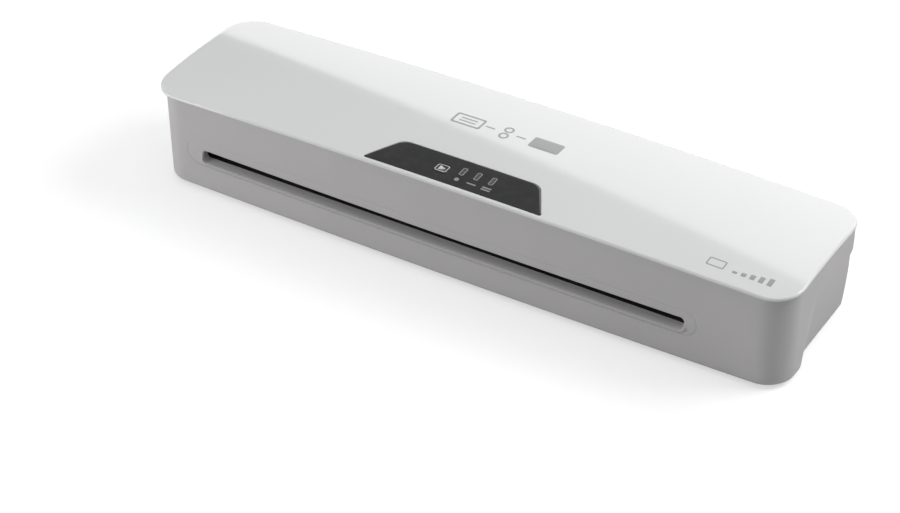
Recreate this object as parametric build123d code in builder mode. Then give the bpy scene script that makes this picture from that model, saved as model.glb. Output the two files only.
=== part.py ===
"""Pouch laminator: a 430 mm desktop machine with two heated and two cold rollers.

Millimetres. +X runs along the machine, +Y from the feeding side to the delivery side, +Z up.
The origin is on the table, under the middle of the whole machine, level with the feet's soles.
"""

import os
from math import acos, cos, pi, radians, sin, sqrt, tan

from build123d import *

# ---------------------------------------------------------------- driving dimensions

# White top cover
cover_length = 430.0
cover_depth = 103.0
cover_corner = 19.0
cover_front_bow = 2.1
cover_rear_bow = 0.5
cover_wall = 2.4
cover_edge = 2.3            # height of the visible rim
cover_crown = 2.6           # rise of the top between its front and rear rims
cover_arch = 4.0            # rise of the rim from the ends to the middle
cover_edge_fillet = 1.5
rim_height_at_ends = 63.7   # underside of the rim above the table, at the ends

# Grey body
foot_height = 2.5
body_wall = 2.4
body_side_inset = 2.5
front_inset_top = 2.5
front_inset_bottom = 3.9
body_front_bow = 2.2
body_front_corner = 18.2
body_rear_corner = 6.0
rear_band_inset = 5.5       # the band under the cover, on the delivery side
rear_foot_inset = 6.0       # the leaning rear face at its foot
rear_ledge_inset = 12.7     # the leaning rear face under its ledge
rear_ledge_height = 44.3
rear_ledge_rise = 2.7
grip_depth = 4.9            # hand grips, scooped into both ends
grip_top = 52.0
grip_overshoot = 0.5        # the scoop runs out through the wall, not along it
grip_front_low = -22.5
grip_front_high = -10.0
grip_ramp_run = 13.7
cover_gap = 0.25            # between the body's top edge and the cover

# Pouch path
slot_length = 330.0
slot_centre_x = -13.7
slot_height = 4.6
mouth_height = 8.1
mouth_floor = 23.7
mouth_depth = 5.0
nip_height = 28.4
bezel_length = 350.0
bezel_height = 17.5
bezel_centre_x = -15.7
bezel_centre_z = 29.1
bezel_gap = 0.2
bezel_depth = 5.0
guide_rib_pitch = 30.1
guide_rib_first_x = -160.6
guide_rib_count = 11
guide_rib_width = 1.2
guide_rib_height = 0.6

# Control panel
panel_back = -26.5
panel_front = -51.2
panel_back_half = 46.0
panel_front_half = 61.0
panel_corner = 9.0
panel_thickness = 1.5
panel_gap = 0.15
button_x = -12.2
button_y = -39.8
button_width = 8.7
button_depth = 8.0
button_corner = 2.0
button_gap = 0.2
button_travel = 0.6
lens_pitch = 9.8
lens_first_x = 0.5
lens_y = -37.0
lens_width = 3.0
lens_depth = 7.0

# Rollers and gears
roller_diameter = 20.0
hot_y = -19.0
roller_core = 8.0
journal = 6.0
sleeve_relief = 0.3         # taken off each pair, so that the sleeves clear each other
roller_teeth = 20
idler_teeth = 14
pinion_teeth = 12
gear_width = 8.0
gear_backlash = 0.16
gear_addendum = 0.9
gear_dedendum = 1.25
pressure_angle = 20.0
running_clearance = 0.05
seat_clearance = 0.02

# Frame
plate_thickness = 1.5
plate_margin = 8.0          # from the slot's ends to the side plates
plate_front_reach = 23.0      # in front of the hot rollers
plate_rear_reach = 20.0       # behind the cold rollers
plate_bottom = 8.0
plate_top = 63.0
carriage_gap = 0.4
lift_travel = 1.3
release_travel = 10.0
rod_diameter = 6.0
motor_radius = 24.5
motor_length = 16.0

# ---------------------------------------------------------------- derived places

half_length = cover_length / 2
cover_front = -cover_depth / 2
cover_rear = cover_depth / 2
arch_radius = (half_length**2 + cover_arch**2) / (2 * cover_arch)
rim_height = rim_height_at_ends + cover_arch
arch_axis = Axis((0, 0, rim_height - arch_radius), (0, 1, 0))
crown_height = rim_height + cover_edge + cover_crown

body_half = half_length - body_side_inset
body_top = crown_height - cover_wall
band_rear = cover_rear - rear_band_inset
rear_foot_y = cover_rear - rear_foot_inset
rear_ledge_y = cover_rear - rear_ledge_inset
rear_lean = (rear_foot_y - rear_ledge_y) / (rear_ledge_height - foot_height)
rear_normal = Vector(0, 1, rear_lean).normalized()
floor_top = foot_height + body_wall

slot_left = slot_centre_x - slot_length / 2
slot_right = slot_centre_x + slot_length / 2
plate_left_inner = slot_left - plate_margin
plate_right_inner = slot_right + plate_margin
plate_left_outer = plate_left_inner - plate_thickness
plate_right_outer = plate_right_inner + plate_thickness
plate_front = hot_y - plate_front_reach

gear_module = roller_diameter / roller_teeth
cold_y = hot_y + gear_module * (roller_teeth + idler_teeth)
plate_rear = cold_y + plate_rear_reach
roller_radius = roller_diameter / 2
lower_z = nip_height - roller_radius
upper_z = nip_height + roller_radius
idler_y = (hot_y + cold_y) / 2
pinion_z = lower_z + gear_module * (idler_teeth + pinion_teeth) / 2
gear_x = plate_right_outer + 1.8


def rear_face_y(height):
    """Where the leaning rear face stands at a height above the table."""
    return rear_foot_y - rear_lean * (height - foot_height)


def rim_at(x):
    """Underside of the cover's rim at a place along the machine."""
    return rim_height - arch_radius + sqrt(arch_radius**2 - x**2)


# ---------------------------------------------------------------- shared forms

def plan_outline(half, front, rear, front_bow, rear_bow, front_radius, rear_radius):
    """Plan of the machine: bowed long sides and rounded corners."""
    with BuildLine() as edge_line:
        ThreePointArc((-half, front), (0, front - front_bow), (half, front))
        Line((half, front), (half, rear))
        ThreePointArc((half, rear), (0, rear + rear_bow), (-half, rear))
        Line((-half, rear), (-half, front))
    make_face(edge_line.edges())
    fillet(vertices().sort_by(Axis.Y)[:2], front_radius)
    fillet(vertices().sort_by(Axis.Y)[-2:], rear_radius)


def crowned_slab(top_drop, bottom_drop, outline):
    """A slab that follows the cover's crowned and arched top, cut to a plan outline."""
    with BuildPart() as slab:
        with BuildSketch(Plane.YZ):
            reach = cover_rear + 5
            sag = cover_crown * (reach / cover_rear) ** 2
            with BuildLine():
                ThreePointArc((-reach, crown_height - sag - top_drop), (0, crown_height - top_drop),
                              (reach, crown_height - sag - top_drop))
                Line((reach, crown_height - sag - top_drop), (reach, crown_height - sag - bottom_drop))
                ThreePointArc((reach, crown_height - sag - bottom_drop),
                              (0, crown_height - bottom_drop),
                              (-reach, crown_height - sag - bottom_drop))
                Line((-reach, crown_height - sag - bottom_drop), (-reach, crown_height - sag - top_drop))
            make_face()
        revolve(axis=arch_axis)
        with BuildSketch():
            outline()
        extrude(amount=crown_height + 5, mode=Mode.INTERSECT)
    return slab.part


def cover_plan(inset=0.0):
    plan_outline(half_length - inset, cover_front + inset, cover_rear - inset, cover_front_bow,
                 cover_rear_bow, cover_corner - inset, cover_corner - inset)


def body_form(inset):
    """The grey body as a solid block, drawn in by an even wall where inset is not zero."""
    with BuildPart() as rear_relief:
        with BuildSketch(Plane.YZ):
            low = foot_height - 5
            ledge = rear_ledge_height + inset
            shelf = ledge + rear_ledge_rise
            beyond = cover_rear + 10
            with BuildLine():
                Polyline((rear_face_y(low) - inset, low), (rear_ledge_y - inset, ledge),
                         (band_rear - inset, shelf), (beyond, shelf), (beyond, low), close=True)
            make_face()
        extrude(amount=half_length, both=True)
    with BuildPart() as grip:
        with BuildSketch(Plane.XZ):
            side = body_half - inset
            beyond = half_length + 10
            with BuildLine():
                ThreePointArc((side - grip_depth, foot_height), (side - grip_depth * 0.36, grip_top * 0.5),
                              (side + grip_overshoot, grip_top))
                Polyline((side + grip_overshoot, grip_top), (beyond, grip_top), (beyond, foot_height - 5),
                         (side - grip_depth, foot_height - 5), (side - grip_depth, foot_height))
            make_face()
        extrude(amount=cover_depth, both=True)
        ramp_foot = Vector(body_half, grip_front_low - inset, foot_height)
        ramp_up = Vector(0, grip_front_high - grip_front_low, grip_top - foot_height)
        ramp_in = Vector(-grip_depth, grip_ramp_run, 0)
        split(bisect_by=Plane(ramp_foot, x_dir=ramp_up, z_dir=ramp_in.cross(ramp_up)), keep=Keep.TOP)
    with BuildPart() as under_cover:
        add(crowned_slab(cover_wall + cover_gap, crown_height - 1,
                         lambda: Rectangle(cover_length, cover_depth + 8)))
    with BuildPart() as form:
        with BuildSketch(Plane.XY.offset(foot_height + inset)):
            plan_outline(body_half - inset, cover_front + front_inset_bottom + inset, band_rear - inset,
                         body_front_bow, 0.1, body_front_corner - inset, body_rear_corner - inset)
        with BuildSketch(Plane.XY.offset(body_top)):
            plan_outline(body_half - inset, cover_front + front_inset_top + inset, band_rear - inset,
                         body_front_bow, 0.1, body_front_corner - inset, body_rear_corner - inset)
        loft()
        if inset == 0:
            add(under_cover.part, mode=Mode.INTERSECT)
        add(rear_relief.part, mode=Mode.SUBTRACT)
        add(grip.part, mode=Mode.SUBTRACT)
        add(grip.part.mirror(Plane.YZ), mode=Mode.SUBTRACT)
    return form.part


def gear_outline(centre_y, centre_z, teeth, start):
    """Involute gear, with one tooth centred on the start angle. Teeth are thinned for backlash."""
    pitch_r = gear_module * teeth / 2
    base_r = pitch_r * cos(radians(pressure_angle))
    root_r = pitch_r - gear_dedendum * gear_module
    tip_r = pitch_r + gear_addendum * gear_module
    half_tooth = (pi * gear_module / 2 - gear_backlash / 2) / (2 * pitch_r)
    half_tooth += tan(radians(pressure_angle)) - radians(pressure_angle)

    def point(radius, offset, middle):
        roll = acos(min(1.0, base_r / radius)) if radius > base_r else 0.0
        angle = middle + offset * (half_tooth - (tan(roll) - roll))
        return (centre_y + radius * cos(angle), centre_z + radius * sin(angle))

    flank_r = max(base_r, root_r)
    middle_r = (flank_r + tip_r) / 2
    with BuildLine() as outline:
        for tooth in range(teeth):
            middle = radians(start) + 2 * pi * tooth / teeth
            following = middle + 2 * pi / teeth
            if root_r < base_r:
                Line(point(root_r, -1, middle), point(flank_r, -1, middle))
            ThreePointArc(point(flank_r, -1, middle), point(middle_r, -1, middle), point(tip_r, -1, middle))
            Line(point(tip_r, -1, middle), point(tip_r, 1, middle))
            ThreePointArc(point(tip_r, 1, middle), point(middle_r, 1, middle), point(flank_r, 1, middle))
            if root_r < base_r:
                Line(point(flank_r, 1, middle), point(root_r, 1, middle))
            Line(point(root_r, 1, middle), point(root_r, -1, following))
    make_face(outline.edges())


def screw_form(shank, length, head, head_height):
    """A pan-head cross-recess screw, shank down, with the underside of its head at the origin."""
    with BuildPart() as screw:
        with BuildSketch():
            Circle(head / 2)
        extrude(amount=head_height)
        fillet(screw.faces().sort_by(Axis.Z)[-1].edges(), head_height * 0.45)
        with BuildSketch():
            Circle(shank / 2)
        extrude(amount=-length)
        with BuildSketch(Plane.XY.offset(head_height)):
            Rectangle(head * 0.55, head * 0.13)
            Rectangle(head * 0.13, head * 0.55)
        extrude(amount=-head_height * 0.5, mode=Mode.SUBTRACT)
    return screw.part


outer_form = body_form(0)
inner_form = body_form(body_wall)

# ---------------------------------------------------------------- casing

post_side_inset = 15.0
post_front_inset = 15.5
post_rear_inset = 20.5
post_places = [(side * (half_length - post_side_inset), cover_front + post_front_inset) for side in (1, -1)]
post_places += [(side * (half_length - post_side_inset - 1), cover_rear - post_rear_inset)
                for side in (1, -1)]
post_diameter = 8.0
post_top = 40.0
post_bore = 3.4
head_bore = 6.4
screw_seat = 36.0
cover_boss = 6.6
boss_gap = 0.2
pilot = 2.5
locating_rim = 1.6
locating_depth = 5.0
locating_gap = 0.4

tab_inset = 4.0
tab_places = [(x, y) for x in (plate_left_inner + tab_inset, plate_right_inner - tab_inset)
              for y in (plate_front + tab_inset, plate_rear - tab_inset)]
tab_boss = 7.0

foot_side_inset = 25.0
foot_edge_inset = 17.5
foot_places = [(x * (half_length - foot_side_inset), y * (cover_rear - foot_edge_inset))
               for y in (-1, 1) for x in (1, -1)]
foot_diameter = 13.0
foot_recess = 1.0

switch_x = half_length - 29.0
switch_z = 27.0
switch_width = 13.0
switch_height = 19.0
switch_lip = 1.2
switch_depth = 12.0
switch_plane = Plane((switch_x, rear_face_y(switch_z), switch_z), x_dir=(-1, 0, 0), z_dir=rear_normal)

gland_x = half_length - 47.0
gland_z = 28.0
gland_body = 9.6
gland_bore = 6.2
gland_flange = 13.0
gland_plane = Plane((gland_x, rear_face_y(gland_z), gland_z), x_dir=(-1, 0, 0), z_dir=rear_normal)

exit_length = slot_length + 14.0
exit_height = 14.0
exit_z = 29.0
exit_gap = 0.2

knob_x = slot_right - 39.3
knob_z = 54.6
knob_stem_width = 8.0
knob_stem_height = 4.4
knob_clear = 0.4

vent_count = 14
vent_pitch = 14.0
vent_width = 2.6
vent_length = 34.0

with BuildPart() as base_housing:
    add(outer_form)
    add(inner_form, mode=Mode.SUBTRACT)
    with BuildSketch(Plane.XY.offset(floor_top - 0.5)):
        with Locations(*post_places):
            Circle(post_diameter / 2)
    extrude(amount=post_top - floor_top + 0.5)
    with BuildSketch(Plane.XY.offset(floor_top - 0.5)):
        with Locations(*tab_places):
            Circle(tab_boss / 2)
    extrude(amount=plate_bottom - floor_top + 0.5)
    with BuildSketch(Plane.XY.offset(foot_height)):
        with Locations(*post_places):
            Circle(head_bore / 2)
    extrude(amount=screw_seat - foot_height, mode=Mode.SUBTRACT)
    with BuildSketch(Plane.XY.offset(foot_height)):
        with Locations(*post_places):
            Circle(post_bore / 2)
    extrude(amount=post_top - foot_height + 1, mode=Mode.SUBTRACT)
    with BuildSketch(Plane.XY.offset(plate_bottom)):
        with Locations(*tab_places):
            Circle(pilot / 2)
    extrude(amount=-(plate_bottom - foot_height - 0.9), mode=Mode.SUBTRACT)
    with BuildSketch(Plane.XY.offset(foot_height)):
        with Locations(*foot_places):
            Circle(foot_diameter / 2 + 0.1)
    extrude(amount=foot_recess, mode=Mode.SUBTRACT)
    with BuildSketch(Plane.XY.offset(foot_height)):
        with Locations((slot_centre_x, -1)):
            with GridLocations(vent_pitch, 1, vent_count, 1):
                SlotOverall(vent_length, vent_width, rotation=90)
    extrude(amount=body_wall, mode=Mode.SUBTRACT)
    with BuildSketch(Plane.XZ.offset(30)):
        with Locations((bezel_centre_x, bezel_centre_z)):
            SlotOverall(bezel_length, bezel_height)
    extrude(amount=40, mode=Mode.SUBTRACT)
    with BuildSketch(Plane.XZ.offset(-30)):
        with Locations((slot_centre_x, exit_z)):
            SlotOverall(exit_length, exit_height)
    extrude(amount=-40, mode=Mode.SUBTRACT)
    with BuildSketch(Plane.XZ.offset(-band_rear + body_wall + 1)):
        with Locations((knob_x + release_travel / 2, knob_z)):
            SlotOverall(release_travel + knob_stem_width + 2 * knob_clear + 2,
                        knob_stem_height + 2 * knob_clear)
    extrude(amount=-body_wall - 2, mode=Mode.SUBTRACT)
    with BuildSketch(switch_plane):
        Rectangle(switch_width, switch_height)
    extrude(amount=5, both=True, mode=Mode.SUBTRACT)
    with BuildSketch(gland_plane):
        Circle(gland_body / 2 + seat_clearance)
    extrude(amount=5, both=True, mode=Mode.SUBTRACT)
base_housing.part.label = "base_housing"

board_x = 4.0
board_y = -37.5
board_width = 60.0
board_depth = 13.0
board_top = 60.2
board_thickness = 1.6
board_screw_places = [(board_x - board_width / 2 + 4, board_y), (board_x + board_width / 2 - 4, board_y)]
window_width = 45.0


def panel_plan(inset=0.0):
    """Plan of the control panel: a trapezium, wider at the front, with round back corners."""
    with BuildLine() as edge_line:
        Polyline((-panel_front_half + inset, panel_front + inset),
                 (panel_front_half - inset, panel_front + inset),
                 (panel_back_half - inset, panel_back - inset),
                 (-panel_back_half + inset, panel_back - inset), close=True)
    make_face(edge_line.edges())
    fillet(vertices().sort_by(Axis.Y)[-2:], panel_corner - inset)
    fillet(vertices().sort_by(Axis.Y)[:2], 1.2)


with BuildPart() as cover_inside:
    with BuildSketch(Plane.XY.offset(rim_height_at_ends - locating_depth)):
        rim_inset = body_wall + locating_gap
        plan_outline(body_half - rim_inset, cover_front + front_inset_bottom + rim_inset,
                     band_rear - rim_inset, body_front_bow, 0.1,
                     body_front_corner - rim_inset, body_rear_corner - rim_inset)
        offset(amount=-locating_rim, kind=Kind.INTERSECTION, mode=Mode.SUBTRACT)
    extrude(amount=20)
    with BuildSketch(Plane.XY.offset(post_top + boss_gap)):
        with Locations(*post_places):
            Circle(cover_boss / 2)
    extrude(amount=35)
    with BuildSketch(Plane.XY.offset(board_top)):
        with Locations(*board_screw_places):
            Circle(2.6)
    extrude(amount=15)
    add(crowned_slab(cover_wall - 0.2, crown_height - 5, cover_plan), mode=Mode.INTERSECT)

with BuildPart() as top_cover:
    add(crowned_slab(0, cover_wall, cover_plan))
    fillet(top_cover.faces().sort_by(Axis.Z)[-1].edges(), cover_edge_fillet)
    add(cover_inside.part)
    with BuildSketch(Plane.XY.offset(post_top + boss_gap)):
        with Locations(*post_places):
            Circle(pilot / 2)
    extrude(amount=14, mode=Mode.SUBTRACT)
    with BuildSketch(Plane.XY.offset(board_top)):
        with Locations(*board_screw_places):
            Circle(1.02)
    extrude(amount=5, mode=Mode.SUBTRACT)
    with BuildSketch(Plane.XY.offset(rim_height - 15)):
        with Locations((board_x, board_y)):
            RectangleRounded(window_width, board_depth + 1, 2)
    extrude(amount=30, mode=Mode.SUBTRACT)
    add(crowned_slab(panel_thickness, -3, panel_plan), mode=Mode.SUBTRACT)
top_cover.part.label = "top_cover"

button_top = crown_height - cover_crown * (button_y / cover_rear) ** 2
tact_height = 3.0
plunger_top = board_top + tact_height + 0.8
stem_foot = plunger_top + button_travel + 0.05
lens_places = [(lens_first_x + lens_pitch * k, lens_y) for k in range(3)]
led_height = 1.6

with BuildPart() as control_panel:
    add(crowned_slab(0.05, panel_thickness - 0.02, lambda: panel_plan(panel_gap)))
    with BuildSketch(Plane.XY.offset(rim_height - 5)):
        with Locations((button_x, button_y)):
            RectangleRounded(button_width + 2 * button_gap, button_depth + 2 * button_gap,
                             button_corner + button_gap)
        with Locations(*lens_places):
            RectangleRounded(lens_width + 2 * seat_clearance, lens_depth + 2 * seat_clearance, 0.8)
    extrude(amount=20, mode=Mode.SUBTRACT)
control_panel.part.label = "control_panel"

with BuildPart() as start_button:
    with BuildSketch(Plane.XY.offset(button_top - 3.0)):
        with Locations((button_x, button_y)):
            RectangleRounded(button_width, button_depth, button_corner)
    extrude(amount=3.25)
    fillet(start_button.faces().sort_by(Axis.Z)[-1].edges(), 0.4)
    with BuildSketch(Plane.XY.offset(stem_foot)):
        with Locations((button_x, button_y)):
            Rectangle(3.4, 3.4)
    extrude(amount=button_top - 2.5 - stem_foot)
start_button.part.label = "start_button"

with BuildPart() as indicator_lenses:
    with BuildSketch(Plane.XY.offset(board_top + led_height + 0.3)):
        with Locations(*lens_places):
            RectangleRounded(lens_width, lens_depth, 0.8)
    extrude(amount=12)
    add(crowned_slab(-0.1, 25, cover_plan), mode=Mode.INTERSECT)
indicator_lenses.part.label = "indicator_lenses"

with BuildPart() as control_board:
    with BuildSketch(Plane.XY.offset(board_top - board_thickness)):
        with Locations((board_x, board_y)):
            Rectangle(board_width, board_depth)
        with Locations(*board_screw_places):
            Circle(1.3, mode=Mode.SUBTRACT)
    extrude(amount=board_thickness)
control_board.part.label = "control_board"

with BuildPart() as start_switch:
    with BuildSketch(Plane.XY.offset(board_top)):
        with Locations((button_x, button_y)):
            Rectangle(6, 6)
    extrude(amount=tact_height)
    with BuildSketch(Plane.XY.offset(board_top + tact_height)):
        with Locations((button_x, button_y)):
            Circle(1.7)
    extrude(amount=0.8)
start_switch.part.label = "start_switch"

with BuildPart() as indicator_leds:
    with BuildSketch(Plane.XY.offset(board_top)):
        with Locations(*lens_places):
            Rectangle(2.0, 3.2)
    extrude(amount=led_height * 0.5)
    with BuildSketch(Plane.XY.offset(board_top + led_height * 0.5)):
        with Locations(*lens_places):
            Rectangle(1.6, 2.4)
    extrude(amount=led_height * 0.5)
indicator_leds.part.label = "indicator_leds"

with BuildPart() as rubber_feet:
    with BuildSketch():
        with Locations(*foot_places):
            Circle(foot_diameter / 2)
    extrude(amount=foot_height + foot_recess)
    fillet(rubber_feet.faces().sort_by(Axis.Z)[:4].edges(), 0.6)
rubber_feet.part.label = "rubber_feet"

cover_screw = screw_form(2.9, 12.0, 5.6, 2.1)
with BuildPart() as cover_screws:
    with Locations(*[Location((x, y, screw_seat), (180, 0, 0)) for x, y in post_places]):
        add(cover_screw)
cover_screws.part.label = "cover_screws"

# ---------------------------------------------------------------- pouch path

mouth_top = mouth_floor + mouth_height
throat_floor = mouth_floor + 1.0
throat_top = throat_floor + slot_height + 1.9
guide_front = cover_front + front_inset_top + bezel_depth + 0.3
guide_rear = hot_y - roller_radius - 0.6
guide_wall = 2.2
guide_half = slot_length / 2 + 5.5
nip_floor = nip_height - slot_height / 2
nip_top = nip_height + slot_height / 2

with BuildPart() as entry_bezel:
    with BuildSketch(Plane.XZ.offset(30)):
        with Locations((bezel_centre_x, bezel_centre_z)):
            SlotOverall(bezel_length - 2 * bezel_gap, bezel_height - 2 * bezel_gap)
    extrude(amount=40)
    add(outer_form, mode=Mode.INTERSECT)
    with BuildSketch(Plane.XZ.offset(-guide_front + 0.3)):
        Rectangle(cover_length, 200)
    extrude(amount=-30, mode=Mode.SUBTRACT)
    with BuildSketch(Plane.XZ.offset(-cover_front + 3)):
        with Locations((slot_centre_x, (mouth_floor + mouth_top) / 2)):
            RectangleRounded(slot_length, mouth_height, mouth_height * 0.3)
    with BuildSketch(Plane.XZ.offset(-guide_front - 0.3)):
        with Locations((slot_centre_x, (throat_floor + throat_top) / 2)):
            RectangleRounded(slot_length, throat_top - throat_floor, mouth_height * 0.3)
    loft(mode=Mode.SUBTRACT)
entry_bezel.part.label = "entry_bezel"


def flared_slot(front, rear, front_span, rear_span):
    """The space of a flared slot, less the low ribs that stand along its floor."""
    with BuildPart() as space:
        with BuildSketch(Plane.YZ.offset(slot_centre_x)):
            with BuildLine() as flare:
                Polyline((front, front_span[0]), (rear, rear_span[0]),
                         (rear, rear_span[1]), (front, front_span[1]), close=True)
            make_face(flare.edges())
        extrude(amount=slot_length / 2, both=True)
        with BuildLine() as rib_line:
            Polyline((front, front_span[0] - 1), (rear, rear_span[0] - 1), (rear, rear_span[0]),
                     ((front + rear) / 2, (front_span[0] + rear_span[0]) / 2 + guide_rib_height),
                     (front, front_span[0]), close=True)
        for k in range(guide_rib_count):
            with BuildSketch(Plane.YZ.offset(guide_rib_first_x + k * guide_rib_pitch)):
                make_face(rib_line.edges())
            extrude(amount=guide_rib_width / 2, both=True, mode=Mode.SUBTRACT)
    return space.part


with BuildPart() as entry_guide:
    with BuildSketch(Plane.XY.offset(throat_floor - guide_wall)):
        with Locations((slot_centre_x, (guide_front + guide_rear) / 2)):
            Rectangle(2 * guide_half, guide_rear - guide_front)
    extrude(amount=nip_top - throat_floor + 2 * guide_wall)
    add(flared_slot(guide_front, guide_rear, (throat_floor, throat_top), (nip_floor, nip_top)),
        mode=Mode.SUBTRACT)
entry_guide.part.label = "entry_guide"

exit_front = cold_y + roller_radius + 0.6
exit_shoulder = rear_face_y(exit_z + exit_height / 2) - body_wall - 0.4
exit_low = nip_floor - 0.6
exit_top = nip_top + 1.8
with BuildPart() as exit_guide:
    with BuildSketch(Plane.XZ.offset(-exit_shoulder)):
        with Locations((slot_centre_x, exit_z)):
            SlotOverall(exit_length - 2 * exit_gap, exit_height - 2 * exit_gap)
    extrude(amount=-20)
    add(outer_form, mode=Mode.INTERSECT)
    with BuildSketch(Plane.XY.offset(exit_low - guide_wall)):
        with Locations((slot_centre_x, (exit_front + exit_shoulder) / 2)):
            Rectangle(2 * guide_half, exit_shoulder - exit_front)
    extrude(amount=exit_top - exit_low + 2 * guide_wall)
    add(flared_slot(exit_front, band_rear, (nip_floor, nip_top), (exit_low, exit_top)),
        mode=Mode.SUBTRACT)
exit_guide.part.label = "exit_guide"

# ---------------------------------------------------------------- rear fittings

with BuildPart() as cord_gland:
    with BuildSketch(gland_plane):
        Circle(gland_flange / 2)
    extrude(amount=1.8)
    fillet(cord_gland.faces().sort_by(Axis.Y)[-1].edges(), 0.8)
    with BuildSketch(gland_plane):
        Circle(gland_body / 2)
    extrude(amount=-(body_wall + 1.2))
    with BuildSketch(gland_plane.offset(3)):
        Circle(gland_bore / 2)
    extrude(amount=-12, mode=Mode.SUBTRACT)
cord_gland.part.label = "cord_gland"

rocker_width = 9.4
rocker_height = 13.4
rocker_gap = 0.25
rocker_tilt = 10.0
rocker_pivot_depth = 2.0
trunnion_radius = 1.2
trunnion_reach = 1.0
rocker_pivot = switch_plane.origin - rear_normal * rocker_pivot_depth
with BuildPart() as switch_frame:
    with BuildSketch(switch_plane):
        RectangleRounded(switch_width + 2 * switch_lip, switch_height + 2 * switch_lip, 1.0)
    extrude(amount=1.4)
    fillet(switch_frame.faces().sort_by(Axis.Y)[-1].edges(), 0.5)
    with BuildSketch(switch_plane):
        Rectangle(switch_width - 0.1, switch_height - 0.1)
    extrude(amount=-switch_depth)
    with BuildSketch(switch_plane.offset(3)):
        Rectangle(rocker_width + 2 * rocker_gap, rocker_height + 2 * rocker_gap)
    extrude(amount=-11, mode=Mode.SUBTRACT)
    with BuildSketch(Plane(rocker_pivot, x_dir=rear_normal, z_dir=(1, 0, 0))):
        Circle(trunnion_radius + running_clearance)
    extrude(amount=rocker_width / 2 + trunnion_reach + 0.1, both=True, mode=Mode.SUBTRACT)
switch_frame.part.label = "switch_frame"

rocker_radius = rocker_height / 2 - 0.35
rocker_plane = Plane(rocker_pivot, x_dir=rear_normal.rotate(Axis.X, rocker_tilt), z_dir=(1, 0, 0))
with BuildPart() as mains_rocker:
    with BuildSketch(rocker_plane):
        with BuildLine() as rocker_line:
            Polyline((-3.0, -rocker_radius * 0.55), (2.2, -rocker_radius), (4.4, -rocker_radius + 0.4),
                     (3.4, 0), (4.4, rocker_radius - 0.4), (2.2, rocker_radius),
                     (-3.0, rocker_radius * 0.55), close=True)
        make_face(rocker_line.edges())
    extrude(amount=rocker_width / 2, both=True)
    with BuildSketch(rocker_plane):
        Circle(trunnion_radius)
    extrude(amount=rocker_width / 2 + trunnion_reach, both=True)
mains_rocker.part.label = "mains_rocker"

bar_y = 38.0
bar_thickness = 2.0
bar_low = 52.0
bar_top = 56.0
ramp_slope = lift_travel / release_travel
ramp_length = release_travel + 4
carriage_right = plate_right_inner - carriage_gap - plate_thickness
carriage_left = plate_left_inner + carriage_gap
arm_low = bar_top + ramp_slope * plate_thickness + 0.1
bar_left = carriage_left - ramp_length - 3
bar_right = carriage_right + plate_thickness + 4

with BuildPart() as release_bar:
    with BuildSketch(Plane.XZ.offset(-bar_y - bar_thickness)):
        with BuildLine() as bar_line:
            left_foot = carriage_left + plate_thickness
            right_foot = carriage_right + plate_thickness
            rise = ramp_slope * ramp_length
            Polyline((bar_left, bar_low), (bar_right, bar_low), (bar_right, bar_top),
                     (right_foot, bar_top), (right_foot - ramp_length, bar_top + rise),
                     (right_foot - ramp_length - 4, bar_top + rise), (right_foot - ramp_length - 4, bar_top),
                     (left_foot, bar_top), (left_foot - ramp_length, bar_top + rise),
                     (bar_left, bar_top + rise), close=True)
        make_face(bar_line.edges())
    extrude(amount=bar_thickness)
release_bar.part.label = "release_bar"

knob_foot = bar_y + bar_thickness
with BuildPart() as release_knob:
    with BuildSketch(Plane.XZ.offset(-knob_foot)):
        with Locations((knob_x, knob_z)):
            RectangleRounded(knob_stem_width, knob_stem_height, 0.8)
    extrude(amount=-(band_rear + 0.6 - knob_foot))
    with BuildSketch(Plane.XZ.offset(-band_rear - 0.5)):
        with Locations((knob_x, knob_z)):
            RectangleRounded(18, 9.5, 2)
    extrude(amount=-3.4)
    fillet(release_knob.faces().sort_by(Axis.Y)[-1].edges(), 1.0)
    with BuildSketch(Plane.XZ.offset(-band_rear - 4.4)):
        with Locations((knob_x, knob_z)):
            with GridLocations(3, 1, 4, 1):
                SlotOverall(6.5, 1.2, rotation=90)
    extrude(amount=0.8, mode=Mode.SUBTRACT)
release_knob.part.label = "release_knob"

# ---------------------------------------------------------------- frame

rod_places = [(idler_y, plate_bottom + rod_diameter / 2 - 0.2), (plate_front + 5, 43.0),
              (plate_rear - 5.5, 45.0)]
standoff_places = [(plate_front + 7, 52.0), (plate_rear - 5, 53.0), (plate_front + 6, 13.0),
                   (plate_rear - 6, 13.0)]
rod_hole = 3.2
bush_outer = 9.0
bush_flange = 12.0
bush_flange_width = 1.0
slot_clear = 0.3
ear_low = 50.5
ear_rear = 41.3
tab_width = 8.0
seat_width = 8.0
seat_front = -40.0
idler_pin_diameter = 4.0


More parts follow.
